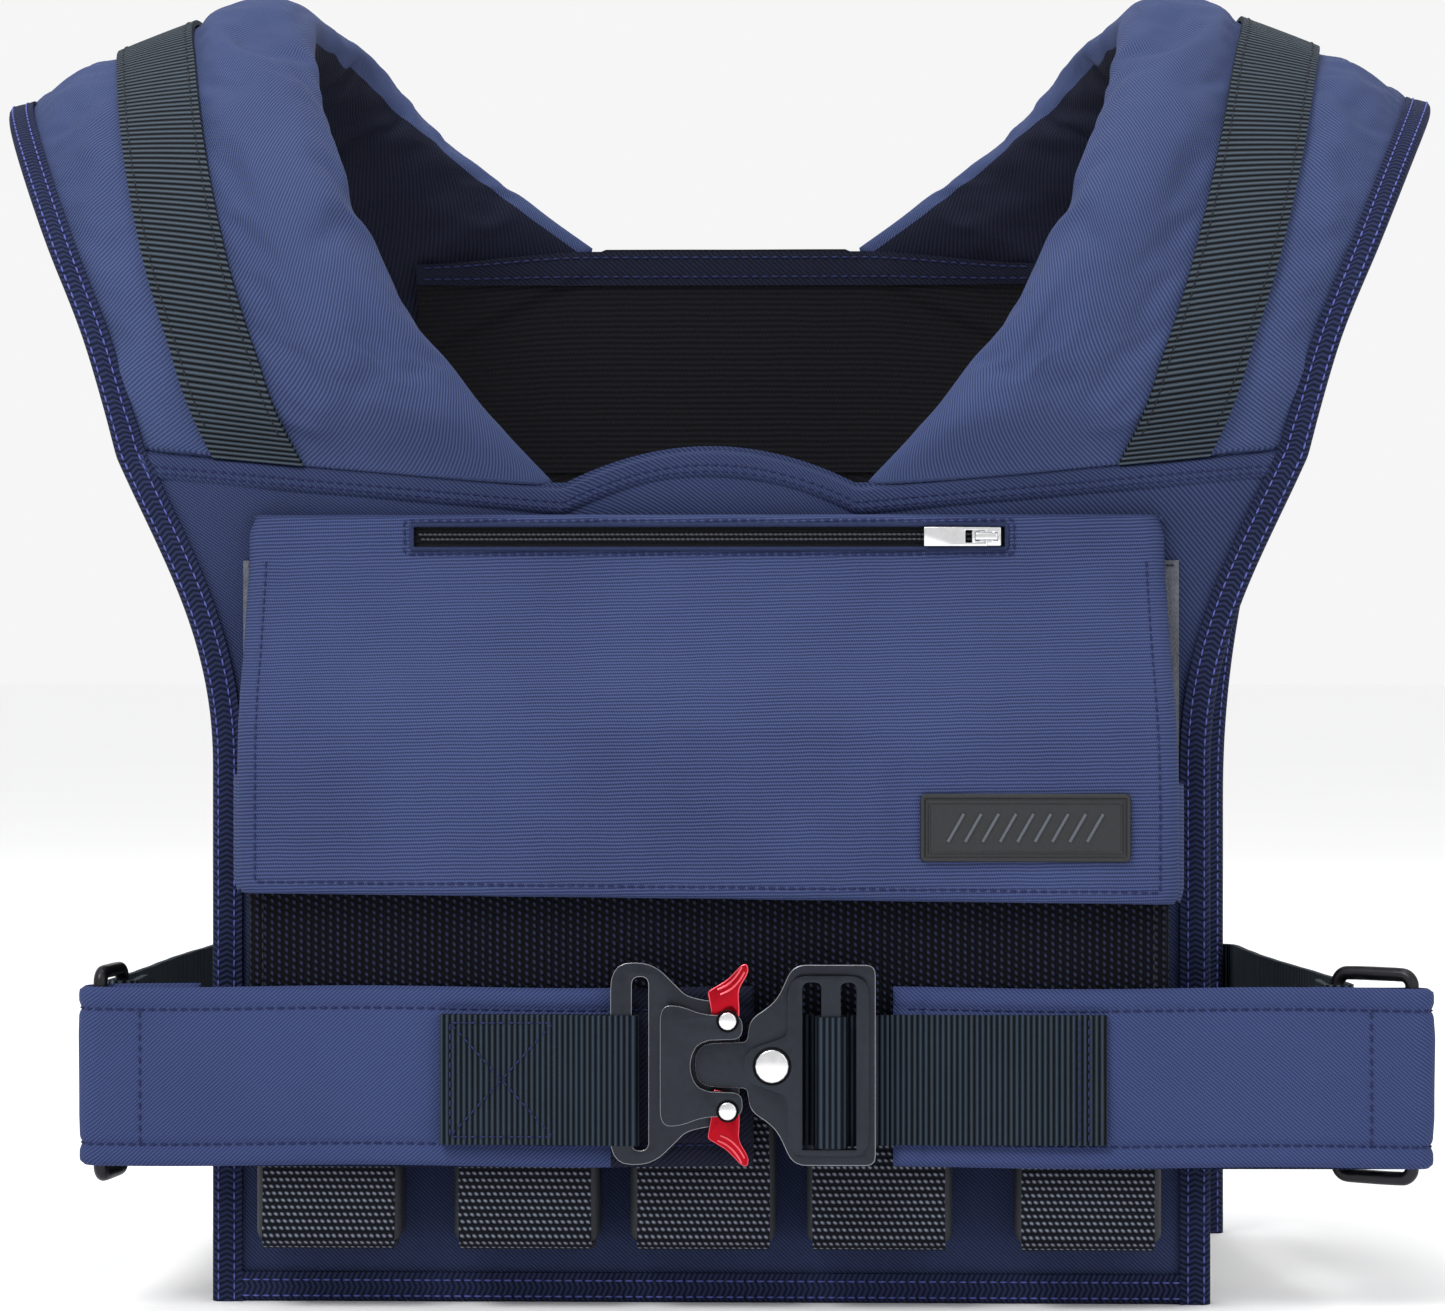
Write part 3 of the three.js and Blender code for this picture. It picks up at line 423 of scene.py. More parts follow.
def stitches(name, lines, pitch, material, body, side=1, radius=0.32):
    """One mesh of short raised stitches. lines is a list of (points, normals) in millimetres."""
    deselect()
    bpy.ops.mesh.primitive_uv_sphere_add(segments=6, ring_count=4, radius=1)
    grain = bpy.context.object
    bead = np.array([v.co[:] for v in grain.data.vertices])
    faces = [list(p.vertices) for p in grain.data.polygons]
    bpy.data.objects.remove(grain)
    verts, polys = [], []
    for points, normals in lines:
        count = max(int(length_of(points) / pitch), 2)
        both = even(np.hstack([points, normals]), count * 2 + 1)
        middle, lift = both[1::2, :3], unit(both[1::2, 3:])
        ahead = unit(both[2::2, :3] - both[:-1:2, :3])
        across = np.cross(ahead, lift)
        for centre, a, b, c in zip(middle, ahead, across, lift):
            start = len(verts) * len(bead)
            reach = bead[:, :1] * a * radius + bead[:, 1:2] * b * radius + bead[:, 2:] * c * radius * 0.8
            reach += np.sign(bead[:, :1]) * a * pitch * 0.26 * (abs(bead[:, :1]) > 0.1)
            verts.append(centre + c * radius * 0.35 + reach)
            polys += [[i + start for i in face] for face in faces]
    mesh = bpy.data.meshes.new(name)
    mesh.from_pydata(to_frame(np.vstack(verts), side).tolist(), [], polys)
    seam = bpy.data.objects.new(name, mesh)
    bpy.context.scene.collection.objects.link(seam)
    if side < 0:
        mesh.flip_normals()
    seam.data.materials.append(material)
    use(seam)
    bpy.ops.object.shade_smooth()
    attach(seam, body)
    return seam


# ---------------------------------------------------------------- front and back panels
# Each panel is a padded tabard: navy twill outside, dark ribbed lining inside, with the yoke
# turned over the ends of the shoulder pads and sewn down.
FRONT_NECK = (45.0, 248.5, 260.0)
BACK_NECK = (42.0, 336.0, 336.0)


def top_edge(x, neck, corner):
    """Height of a panel's upper edge at each X."""
    half, low, high = neck
    reach = np.abs(x)
    bow = low + (high - low) * (1 - (reach / half) ** 2)
    slope = low + (corner[1] - low) * (reach - half) / (corner[0] - half)
    return np.where(reach < half, bow, slope)


def half_width_at(side, z):
    return np.interp(z, side[:, 1], side[:, 0])


def panel(name, side, neck, depth_sign, puff):
    corner = side[-1]

    def place(u, v):
        guess = HEM_LIFT + v * (corner[1] - HEM_LIFT)
        x = (2 * u - 1) * half_width_at(side, guess)
        z = HEM_LIFT + v * (top_edge(x, neck, corner) + 3.2 - HEM_LIFT)
        edge = np.minimum(1 - np.abs(2 * u - 1), np.minimum(v, 1 - v) * 1.5)
        soft = smoothstep(edge, 0, 0.08)
        ripple = np.sin(x * 0.11 + z * 0.05) * np.sin(z * 0.09 - x * 0.03)
        swell = puff * soft * (1 + 0.5 * ripple) * smoothstep(z, 235, 252)
        y = depth_sign * (PANEL_DEPTH + PANEL_HALF - 0.2 - 1.2 * (1 - soft) + swell)
        return np.column_stack([x, y, z])

    sheet = cloth_grid(name, (90, 80), (2 * corner[0], corner[1]), place)
    if depth_sign > 0:
        sheet.data.flip_normals()
    sheet.data.materials.append(shaded_panel_twill)
    sheet.data.materials.append(dark_lining)
    thick = (2 * PANEL_HALF - 0.4) * MM
    shape_with(sheet, "SOLIDIFY", thickness=thick, offset=-1, material_offset=1, material_offset_rim=0)
    return sheet


front_panel = panel("front_panel_shell", front_side, FRONT_NECK, -1, 0.8)
finished(front_panel, None, "vest", "navy_fabric", "front_panel")
back_panel = panel("back_panel_shell", back_side, BACK_NECK, 1, 0.4)
finished(back_panel, None, "vest", "navy_fabric", "back_panel")

# ---------------------------------------------------------------- shoulder pads
# Each pad is a foam roll in a twill sleeve, plump at the neck and flat at its sewn outer edge. The
# sleeve is cut long, so it puckers along the neck side, and the cloth is let swell and settle.
PAD_HALF = 11.0
PAD_EDGE_HALF = 2.5
PAD_FLANGE = 12.0
PAD_CROWN = 0.3
UNDERSIDE_SHARE = 0.92
PAD_ROLL = 1.2
PAD_PLUMP = 5.0
PAD_PUCKER = 2.6
PAD_CREST = 1.8
PAD_MOST = 4.0
HELD_BY_WEBBING = 15.5
HELD_ENDS = 0.035
# Shares of the pad's girth, underneath, that are drawn in the near black shaded twill as painted shade.
UNDERSIDE_SHADE_SHARES = (0.52, 0.96)


def pad_rise(t, u):
    """Half the pad's thickness. It is fullest by the neck, where the foam is rolled."""
    flat = 1 - PAD_FLANGE / arch_width(t)
    ends = smoothstep(np.minimum(t, 1 - t), 0, 0.09)
    full = PAD_EDGE_HALF * 1.4 * (1 - ends) + PAD_HALF * ends
    near = full * (1 - np.clip((PAD_CROWN - u) / PAD_CROWN, 0, 1) ** 2.6) ** 0.5
    plump = PAD_ROLL + PAD_PLUMP * smoothstep(t, 0.04, 0.14) * (1 - smoothstep(t, 0.24, 0.42))
    roll = plump * ends * smoothstep(u, 0, 0.09) * (1 - smoothstep(u, 0.2, 0.42))
    fall = np.sqrt(np.clip(1 - ((u - PAD_CROWN) / (flat - PAD_CROWN)) ** 2, 0, 1))
    far = PAD_EDGE_HALF + (full - PAD_EDGE_HALF) * fall
    return np.where(u < PAD_CROWN, near, np.where(u < flat, far, PAD_EDGE_HALF)) + roll


def pad_place(t, v):
    """v runs round the pad: over the top from the neck to the flange and back underneath."""
    over = v < 0.5
    u = np.where(over, v * 2, 2 - v * 2)
    u = u**1.35
    sign = np.where(over, 1.0, -1.0)
    rise = pad_rise(t, u) * np.where(over, 1.0, UNDERSIDE_SHARE)
    inner = smoothstep(np.minimum(t, 1 - t), 0.03, 0.12)
    gather = np.abs(np.sin(t * 58 + 2.6 * np.sin(t * 17) + u * 7)) ** 0.7 - 0.6
    gather = gather * (0.55 + 0.45 * np.sin(t * 31 + 0.7))
    drag = np.sin(t * 33 - u * 14 + 2 * np.sin(t * 9)) * smoothstep(0.5 - u, 0, 0.5)
    crest = smoothstep(t, 0.2, 0.36) * (1 - smoothstep(t, 0.52, 0.64))
    pucker = (PAD_PUCKER + PAD_CREST * crest) * gather * smoothstep(0.22 - u, 0, 0.2) + 0.9 * drag
    tuck = 1.6 * gather * smoothstep(0.12 - u, 0, 0.12) * inner
    across = unit(along_line(outer_line, t) - along_line(inner_line, t))
    middle = arch_point(t, u) + across * tuck[:, None]
    return middle + arch_normal(t, u) * (sign * (rise + pucker * inner * smoothstep(u, 0, 0.03)))[:, None]


def settle(pad, held, most):
    """Lets a closed pad swell as cloth, with the held vertices fixed, and caps each move."""
    group = pad.vertex_groups.new(name="held")
    group.add([int(i) for i in np.flatnonzero(held)], 1.0, "REPLACE")
    start = np.array([v.co[:] for v in pad.data.vertices])
    use(pad)
    bpy.ops.object.modifier_add(type="CLOTH")
    cloth = pad.modifiers[-1].settings
    cloth.quality = 6
    cloth.mass = 0.3
    cloth.use_pressure = True
    cloth.uniform_pressure_force = 3.0
    cloth.tension_stiffness = 30
    cloth.compression_stiffness = 30
    cloth.shear_stiffness = 12
    cloth.bending_stiffness = 0.25
    cloth.shrink_min = -0.045
    cloth.vertex_group_mass = "held"
    cloth.effector_weights.gravity = 0
    scene = bpy.context.scene
    for step in range(1, 19):
        scene.frame_set(step)
    bpy.ops.object.modifier_apply(modifier=pad.modifiers[-1].name)
    scene.frame_set(1)
    ended = np.array([v.co[:] for v in pad.data.vertices])
    move = ended - start
    reach = np.linalg.norm(move, axis=1, keepdims=True)
    move *= np.minimum(1, most * MM / np.maximum(reach, 1e-9))
    pad.data.vertices.foreach_set("co", (start + move).astype(np.float32).ravel())
    pad.data.update()


PAD_GIRTH = 270.0


def girth_share(piece, face):
    """How far round the pad a face lies, from the piece's own map."""
    marks = piece.data.uv_layers.active.data
    middle = sum((marks[i].uv for i in face.loop_indices), Vector((0, 0))) / len(face.loop_indices)
    return middle.y / MM / PAD_GIRTH


def close_roll(roll):
    """Joins a rolled grid's meeting edges, closes its ends and turns it outwards."""
    use(roll)
    bpy.ops.object.mode_set(mode="EDIT")
    bpy.ops.mesh.select_all(action="SELECT")
    bpy.ops.mesh.remove_doubles(threshold=0.00002)
    bpy.ops.mesh.select_all(action="DESELECT")
    bpy.ops.mesh.select_mode(type="EDGE")
    bpy.ops.mesh.select_non_manifold()
    bpy.ops.mesh.fill_holes(sides=0)
    bpy.ops.mesh.select_all(action="SELECT")
    bpy.ops.mesh.normals_make_consistent(inside=False)
    bpy.ops.object.mode_set(mode="OBJECT")


def shoulder_pad(name):
    cuts = (118, 64)
    size = (length_of(arch_point(np.linspace(0, 1, 200), np.full(200, 0.5))), PAD_GIRTH)
    pad = cloth_grid(name, cuts, size, pad_place)
    close_roll(pad)
    return pad


WEBBING_SHARES = (0.68, 0.5)


def webbing_share(t):
    """How far from the neck side the shoulder webbing runs, in shares of the pad's width."""
    return WEBBING_SHARES[0] + (WEBBING_SHARES[1] - WEBBING_SHARES[0]) * smoothstep(t, 0, 0.45)


def pad_held(pad):
    """The ends, the flange and the strip under the webbing don't move."""
    here = np.array([v.co[:] for v in pad.data.vertices]) / MM
    here[:, 1] -= MIDDLE_Y
    t = np.linspace(0, 1, 241)
    share = webbing_share(t)
    under = arch_point(t, share) + arch_normal(t, share) * pad_rise(t, share)[:, None]
    outer = along_line(outer_line, t)
    middle = arch_point(t, np.full(241, 0.5))

    def gap(line):
        return np.linalg.norm(here[:, None] - line[None], axis=2)

    station = t[np.argmin(gap(middle), axis=1)]
    near_flange = gap(outer).min(axis=1) < PAD_FLANGE * 0.75
    near_webbing = gap(under).min(axis=1) < HELD_BY_WEBBING
    return near_flange | near_webbing | (station < HELD_ENDS) | (station > 1 - HELD_ENDS)


pad_sleeve = shoulder_pad("shoulder_pad_right_sleeve")
settle(pad_sleeve, pad_held(pad_sleeve), PAD_MOST)
shape_with(pad_sleeve, "SUBSURF", levels=1, render_levels=1)
pad_sleeve.data.materials.append(lit_pad_twill)
pad_sleeve.data.materials.append(shaded_twill)
# Faces in that underside band take the shaded twill: painted shade under the pad.
for face in pad_sleeve.data.polygons:
    face.material_index = 1 if UNDERSIDE_SHADE_SHARES[0] < girth_share(pad_sleeve, face) < UNDERSIDE_SHADE_SHARES[1] else 0
other_sleeve = bpy.data.objects.new("shoulder_pad_left_sleeve", pad_sleeve.data.copy())
bpy.context.scene.collection.objects.link(other_sleeve)
for vertex in other_sleeve.data.vertices:
    vertex.co.x = -vertex.co.x
other_sleeve.data.flip_normals()
for pad, label in ((pad_sleeve, "right"), (other_sleeve, "left")):
    finished(pad, None, "vest", "navy_fabric", f"shoulder_pad_{label}", turn=80)

# ---------------------------------------------------------------- hems of the yokes
# The top of each panel is turned over and sewn down with two rows, over the ends of the pads. It
# is the same navy cloth as the panel.
HEM_DEEP = 9.0
HEM_PROUD = 1.2


def hem_strip(name, neck, corner, depth_sign):
    def place(u, v):
        x = (2 * u - 1) * (corner[0] - 6)
        top = top_edge(x, neck, corner) + 2.6
        roll = np.sin(np.clip((v - 0.8) / 0.2, 0, 1) * math.pi / 2)
        z = top - HEM_DEEP * (1 - v) - 0.5 * roll
        ripple = 0.35 * np.sin(x * 0.13 + 1.7) * np.sin(x * 0.041)
        dip = 0.5 * (smoothstep(v, 0, 0.12) - 1)
        y = depth_sign * (PANEL_DEPTH + PANEL_HALF + HEM_PROUD + ripple * v + dip * 2 - 2.6 * roll**2)
        return np.column_stack([x, y, z])

    strip = cloth_grid(name, (160, 14), (2 * corner[0], HEM_DEEP), place)
    if depth_sign > 0:
        strip.data.flip_normals()
    shape_with(strip, "SOLIDIFY", thickness=1.3 * MM, offset=-1)
    finished(strip, shaded_panel_twill, "vest", "navy_fabric")
    rows = []
    for v in (0.2, 0.42):
        u = np.linspace(0.01, 0.99, 300)
        rows.append(facing_y(place(u, np.full(300, v)), depth_sign))
    stitches(name + "_stitches", rows, 3.0, navy_thread, "vest")


hem_strip("front_yoke_hem", FRONT_NECK, front_side[-1], -1)
hem_strip("back_yoke_hem", BACK_NECK, back_side[-1], 1)

# ---------------------------------------------------------------- neck facing
# Inside the neck, a dark ribbed facing is sewn over the pads' back ends. A navy band is sewn along
# its top with two rows; it is drawn in the near black shaded twill, as painted shade inside the neck.
FACING_HALF = 106.0
FACING_TOP = 337.5
facing_t = np.repeat(np.linspace(0.72, 1, 50), 40)
facing_u = np.tile(np.linspace(0, 1, 40), 50)
facing_rise = pad_rise(facing_t, facing_u) * UNDERSIDE_SHARE
under_pad = arch_point(facing_t, facing_u) - arch_normal(facing_t, facing_u) * facing_rise[:, None]


def facing_place(u, v, low=262.0, high=FACING_TOP, proud=0.0):
    x = (2 * u - 1) * FACING_HALF
    top = high - 5.0 * smoothstep(np.abs(x), 45, FACING_HALF)
    z = low + v * (top - low)
    here = np.column_stack([np.abs(x), z])
    gap = np.linalg.norm(here[:, None] - under_pad[None][:, :, [0, 2]], axis=2)
    near = np.exp(-((gap / 5.0) ** 2))
    weight = near.sum(axis=1)
    pad_y = (near * under_pad[None, :, 1]).sum(axis=1) / np.maximum(weight, 1e-9)
    share = smoothstep(weight, 0.2, 3.0)
    wall = PANEL_DEPTH - PANEL_HALF - 0.2
    y = wall + (np.minimum(pad_y - 1.8, wall) - wall) * share - proud
    return np.column_stack([x, y, z])


neck_facing = cloth_grid("neck_facing", (110, 50), (2 * FACING_HALF, 76), facing_place)
shape_with(neck_facing, "SOLIDIFY", thickness=0.8 * MM, offset=0)
finished(neck_facing, dark_lining, "vest", "navy_fabric")


def neck_band_place(u, v):
    return facing_place(u, v, FACING_TOP - 11.0, FACING_TOP + 0.6, 1.0 + 0.3 * np.sin(math.pi * v))


neck_band = cloth_grid("neck_band", (120, 12), (2 * FACING_HALF, 11.6), neck_band_place)
shape_with(neck_band, "SOLIDIFY", thickness=1.2 * MM, offset=0)
# The band takes the shaded twill: painted shade inside the neck.
finished(neck_band, shaded_twill, "vest", "navy_fabric")
neck_rows = []
for share in (0.25, 0.82):
    row = neck_band_place(np.linspace(0.01, 0.99, 200), np.full(200, share))
    neck_rows.append(facing_y(row + (0, -0.7, 0), -1))
stitches("neck_band_stitches", neck_rows, 3.4, navy_thread, "vest", 1, 0.4)

# ---------------------------------------------------------------- herringbone edge binding
# A folded herringbone tape closes each panel's edge and runs on over the pad's outer flange. It is
# sewn through with two rows of periwinkle thread on each face.
TAPE_LIP = 8.0
TAPE_FOLD = -1.0
TAPE_STAND = 3.9
TAPE_THICK = 1.1


def tape_cloth():
    material, term, paint = finish("herringbone_tape", Roughness=0.8, Specular_IOR_Level=0.08)
    cloth, along, across = cloth_place(term)
    lane = (across * (1 / 0.0046)).math("PINGPONG", 0.5)
    slant = (along + lane * 0.0022).wave(1 / 0.0017)
    cloud = place_of(term).noise(30.0)
    shade = slant * 0.7 + cloud * 0.35
    paint("Base Color", shade.blend((0.0015, 0.002, 0.006), (0.024, 0.032, 0.085)))
    paint("Normal", relief(term, slant, 0.0003, 0.9))
    return material


herringbone = tape_cloth()
fold_turn = np.linspace(0, math.pi, 17)
tape_section = np.vstack([
    [(TAPE_LIP, TAPE_STAND)],
    np.column_stack([0.9 + (TAPE_FOLD - 0.9) * np.sin(fold_turn), TAPE_STAND * np.cos(fold_turn)]),
    [(TAPE_LIP, -TAPE_STAND)],
])


def edge_tape(name, edge, inward, normal, cuts, side, node):
    """Folds the tape over an edge, and sews it. All three lines are given point by point."""
    section = even(tape_section, 200)
    frames = even_frames(edge, inward, normal, 600)

    def place(u, v):
        base = along_rows(frames, u)
        reach = np.interp(v, np.linspace(0, 1, 200), section[:, 0])
        lift = np.interp(v, np.linspace(0, 1, 200), section[:, 1])
        pinch = 1 - 0.09 * np.exp(-(((reach - 5.6) / 0.8) ** 2))
        return base[:, :3] + base[:, 3:6] * reach[:, None] + base[:, 6:] * (lift * pinch)[:, None]

    size = (length_of(frames[:, :3]), length_of(section))
    tape = cloth_grid(name, cuts, size, place, side)
    shape_with(tape, "SOLIDIFY", thickness=TAPE_THICK * MM, offset=0)
    finished(tape, herringbone, "vest", "binding_tape", node, turn=60)
    rows = []
    for sign in (1, -1):
        for reach in (5.6, 0.7):
            sewn = frames[:, :3] + frames[:, 3:6] * reach + frames[:, 6:] * sign * (TAPE_STAND + 0.4)
            rows.append((sewn, frames[:, 6:] * sign))
    stitches(name + "_stitches", rows, 3.1, periwinkle_thread, "vest", side)


def along_rows(rows, u):
    where = np.clip(u, 0, 1) * (len(rows) - 1)
    return np.column_stack([np.interp(where, np.arange(len(rows)), rows[:, k]) for k in range(rows.shape[1])])


def even_frames(edge, inward, normal, count):
    """Points with their two directions, at even steps, with the directions turned smoothly."""
    steps = np.linalg.norm(np.diff(edge, axis=0), axis=1)
    run = np.concatenate([[0], np.cumsum(steps)])
    wanted = np.linspace(0, run[-1], count)
    table = np.hstack([edge, inward, normal])
    rows = np.column_stack([np.interp(wanted, run, table[:, k]) for k in range(9)])
    kernel = np.ones(13) / 13
    padded = np.vstack([np.repeat(rows[:1], 6, 0), rows, np.repeat(rows[-1:], 6, 0)])
    for k in range(3, 9):
        rows[:, k] = np.convolve(padded[:, k], kernel, "valid")
    rows[:, 3:6] = unit(rows[:, 3:6])
    rows[:, 6:] = unit(rows[:, 6:])
    return rows


def panel_edge(side, depth_sign):
    line = side.copy()
    line[0, 1] = 0
    tangent = unit(np.gradient(line, axis=0))
    edge = np.column_stack([line[:, 0], np.full(len(line), depth_sign * PANEL_DEPTH), line[:, 1]])
    inward = np.column_stack([-tangent[:, 1], np.zeros(len(line)), tangent[:, 0]])
    return edge, inward, np.tile([0.0, depth_sign, 0.0], (len(line), 1))


arch_t = np.linspace(0.03, 0.97, 60)
arch_edge = arch_point(arch_t, np.ones(60))
arch_inward = unit(arch_point(arch_t, np.zeros(60)) - arch_edge)
front_edge = panel_edge(front_side, -1)
back_edge = [rows[::-1] for rows in panel_edge(back_side, 1)]
whole_edge = [
    np.vstack(parts)
    for parts in zip(front_edge, (arch_edge, arch_inward, arch_normal(arch_t, np.ones(60))), back_edge)
]
for side, label in ((-1, "left"), (1, "right")):
    node = f"side_binding_{label}"
    edge_tape(node + "_tape", *whole_edge, (420, 22), side, node)

for label, half, depth_sign in (("front", FRONT_HALF_WIDTH, -1), ("back", BACK_HALF_WIDTH, 1)):
    reach = half - TAPE_LIP + 0.3
    hem_x = np.linspace(-reach, reach, 60)
    hem_edge = np.column_stack([hem_x, np.full(60, depth_sign * PANEL_DEPTH), np.full(60, 1.2)])
    hem_in = np.tile([0.0, 0.0, 1.0], (60, 1))
    hem_out = np.tile([0.0, float(depth_sign), 0.0], (60, 1))
    edge_tape(f"{label}_hem_tape", hem_edge, hem_in, hem_out, (160, 18), 1, f"{label}_hem_binding")

# ---------------------------------------------------------------- shoulder webbing
# A ribbed black polyester webbing is sewn along the top of each pad, from yoke to yoke, with a row
# of black thread along each edge.
WEBBING_HALF = 14.0


def webbing_cloth(name, base, deep, pitch, thread=0.0013, dots=0.0):
    """Ribs across a webbing's length. dots mixes in rows of light points."""
    material, term, paint = finish(name, Specular_IOR_Level=0.09)
    cloth, along, across = cloth_place(term)
    rib = along.wave(1 / pitch)
    grain = (across + along * 0.4).wave(1 / thread)
    cloud = place_of(term).noise(45.0, 4.0)
    fuzz = place_of(term).noise(1500.0)
    point = (rib * (grain * 0.75 + 0.25) - 0.25) * 1.5
    height = rib * (1 - dots) + point * dots
    shade = height * 1.05 + cloud * 0.2 + fuzz * 0.25 - 0.3
    paint("Base Color", shade.blend(deep, base))
    paint("Roughness", fuzz * 0.2 + 0.66)
    paint("Normal", relief(term, height, pitch * 0.3, 1.0))
    return material


shoulder_rib = webbing_cloth("shoulder_rib_webbing", (0.062, 0.082, 0.105), (0.0012, 0.0018, 0.003), 0.0021)
belt_rib = webbing_cloth("belt_rib_webbing", (0.03, 0.044, 0.064), (0.001, 0.0018, 0.003), 0.0017)
dotted_rib = webbing_cloth("dotted_webbing", (0.19, 0.21, 0.265), (0.003, 0.004, 0.0075), 0.0021, 0.0019, 1.0)
band_rib = webbing_cloth("band_webbing", (0.02, 0.026, 0.058), (0.0008, 0.001, 0.0025), 0.0022, 0.0022, 1.0)


def webbing_on_pad(u, v):
    t = 0.004 + 0.992 * u
    share = webbing_share(t) + (2 * v - 1) * WEBBING_HALF / arch_width(t)
    rise = pad_rise(t, share) + 1.5 * smoothstep(np.minimum(t, 1 - t), -0.02, 0.03) + 0.2 * np.sin(t * 41)
    return arch_point(t, share) + arch_normal(t, share) * rise[:, None]


for side, label in ((-1, "left"), (1, "right")):
    node = f"shoulder_webbing_{label}"
    run = length_of(webbing_on_pad(np.linspace(0, 1, 200), np.full(200, 0.5)))
    strap = cloth_grid(node + "_strap", (180, 12), (run, 2 * WEBBING_HALF), webbing_on_pad, side)
    shape_with(strap, "SOLIDIFY", thickness=1.7 * MM, offset=0)
    finished(strap, shoulder_rib, "vest", "black_webbing", node)
    rows = []
    for v in (0.09, 0.91):
        t = np.linspace(0.03, 0.97, 240)
        sewn = webbing_on_pad(t, np.full(240, v))
        lifted = arch_normal(0.004 + 0.992 * t, np.full(240, 0.55))
        rows.append((sewn + lifted * 0.8, lifted))
    stitches(f"{node}_stitches", rows, 3.4, black_thread, "vest", side)

# ---------------------------------------------------------------- weights in their slings
# Ten coated bars, five to a panel. Each hangs in a loop of dotted webbing, and one wide band goes
# round all five. A bar lifts out upwards once its flap is open.
def levels(node):
    """A node's nearest and furthest distance from the middle plane."""
    low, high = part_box(node)
    return sorted((abs(low.y / MM - MIDDLE_Y), abs(high.y / MM - MIDDLE_Y)))


def ribbon(name, line, width, thick, cuts, centre=0.0, wobble=0.0):
    """A webbing that follows a line of (depth, height) and lies across X, about that centre."""
    path = even(np.array(line, float), 400)
    run = length_of(path)

    def place(u, v):
        here = along_rows(path, u)
        slip = wobble * np.sin(u * run * 0.07 + centre) * smoothstep(u, 0, 0.2)
        x = centre + (v - 0.5) * width + slip
        return np.column_stack([x, here[:, 0], here[:, 1]])

    piece = cloth_grid(name, cuts, (run, width), place)
    shape_with(piece, "SOLIDIFY", thickness=thick * MM, offset=0)
    return piece


def turn_arc(centre, radius, start, stop, count=8):
    angles = np.radians(np.linspace(start, stop, count))
    return [(centre[0] + radius * math.cos(a), centre[1] + radius * math.sin(a)) for a in angles]


def coat():
    material, term, paint = finish("weight_coating", Metallic=0.1, Specular_IOR_Level=0.3)
    place = place_of(term)
    grit = place.noise(700.0, 3.0)
    cloud = place.noise(22.0, 3.0)
    shade = grit * 0.5 + cloud * 0.6 - 0.05
    paint("Base Color", shade.blend((0.01, 0.011, 0.015), (0.034, 0.036, 0.045)))
    paint("Roughness", grit * 0.25 + 0.45)
    paint("Normal", relief(term, grit, 0.00015, 0.7))
    return material


weight_coating = coat()


def bar(name, node, body):
    low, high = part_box(node)
    deselect()
    bpy.ops.mesh.primitive_cube_add(size=1, location=(low + high) / 2, scale=high - low)
    made = bpy.context.object
    made.name = name
    bpy.ops.object.transform_apply(location=True, rotation=True, scale=True)
    shape_with(made, "BEVEL", width=3.4 * MM, segments=5, limit_method="ANGLE")
    finished(made, weight_coating, body, "weight_coat", node, turn=60)


def sling(name, node, facing):
    low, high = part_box(node)
    near, far = levels(node)
    near, far = near + 1, far - 1
    foot = low.z / MM + 1
    top = high.z / MM
    bend = 5
    line = [
        (near, 120),
        *turn_arc((near + bend, foot + bend), bend, 180, 270),
        *turn_arc((far - bend, foot + bend), bend, 270, 360),
        (far, top),
    ]
    line = [(facing * y, z) for y, z in line]
    centre = (low.x + high.x) / 2 / MM
    piece = ribbon(name, line, 40, 1.9, (170, 14), centre, 0.35)
    finished(piece, dotted_rib, "vest", "black_webbing", node)


def weight_band(name, node, facing):
    low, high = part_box(node)
    near, far = levels(node)
    reach = high.x / MM - 1
    front = far - 1
    path = [(-reach, near), (-reach, front - 3), (-reach + 0.9, front - 0.9), (-reach + 3, front)]
    path = path + [(-x, y) for x, y in reversed(path)]
    path = even(np.array(path, float), 500)
    run = length_of(path)

    def place(u, v):
        here = along_rows(path, u)
        sag = 0.35 * np.sin(here[:, 0] * 0.19) * np.sin(v * math.pi)
        z = low.z / MM + v * (high.z - low.z) / MM
        return np.column_stack([here[:, 0], facing * (here[:, 1] + sag), z])

    piece = cloth_grid(name, (260, 24), (run, (high.z - low.z) / MM), place)
    shape_with(piece, "SOLIDIFY", thickness=1.9 * MM, offset=0)
    finished(piece, band_rib, "vest", "black_webbing", node)
    rows = []
    for x in (-reach + 4, reach - 4):
        z = np.linspace(low.z / MM + 2, high.z / MM - 2, 60)
        flat = np.column_stack([np.full(60, x), np.full(60, facing * (front + 1)), z])
        rows.append(facing_y(flat, facing))
    stitches(name + "_stitches", rows, 3.0, black_thread, "vest")


for label, facing in (("front", -1), ("back", 1)):
    for i in range(1, 6):
        bar(f"{label}_weight_bar_{i}", f"{label}_weight_{i}", f"{label}_bar_{i}")
        sling(f"{label}_sling_loop_{i}", f"{label}_weight_sling_{i}", facing)
    weight_band(f"{label}_band_webbing", f"{label}_weight_band", facing)

# ---------------------------------------------------------------- flaps
# A quilted cover hangs from the yoke over each row of weights, with its sides tucked round them.
# The front one has a welted slot for a zip.
SEAT = 92.6
ZIP_PLANE = 101.0


def front_of(node):
    """How far a node's front face stands from the middle plane, in millimetres."""
    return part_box(node)[0].y / MM - MIDDLE_Y


def middle_of(node):
    """X and Z of a node's middle, in millimetres."""
    low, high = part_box(node)
    return (low.x + high.x) / 2 / MM, (low.z + high.z) / 2 / MM


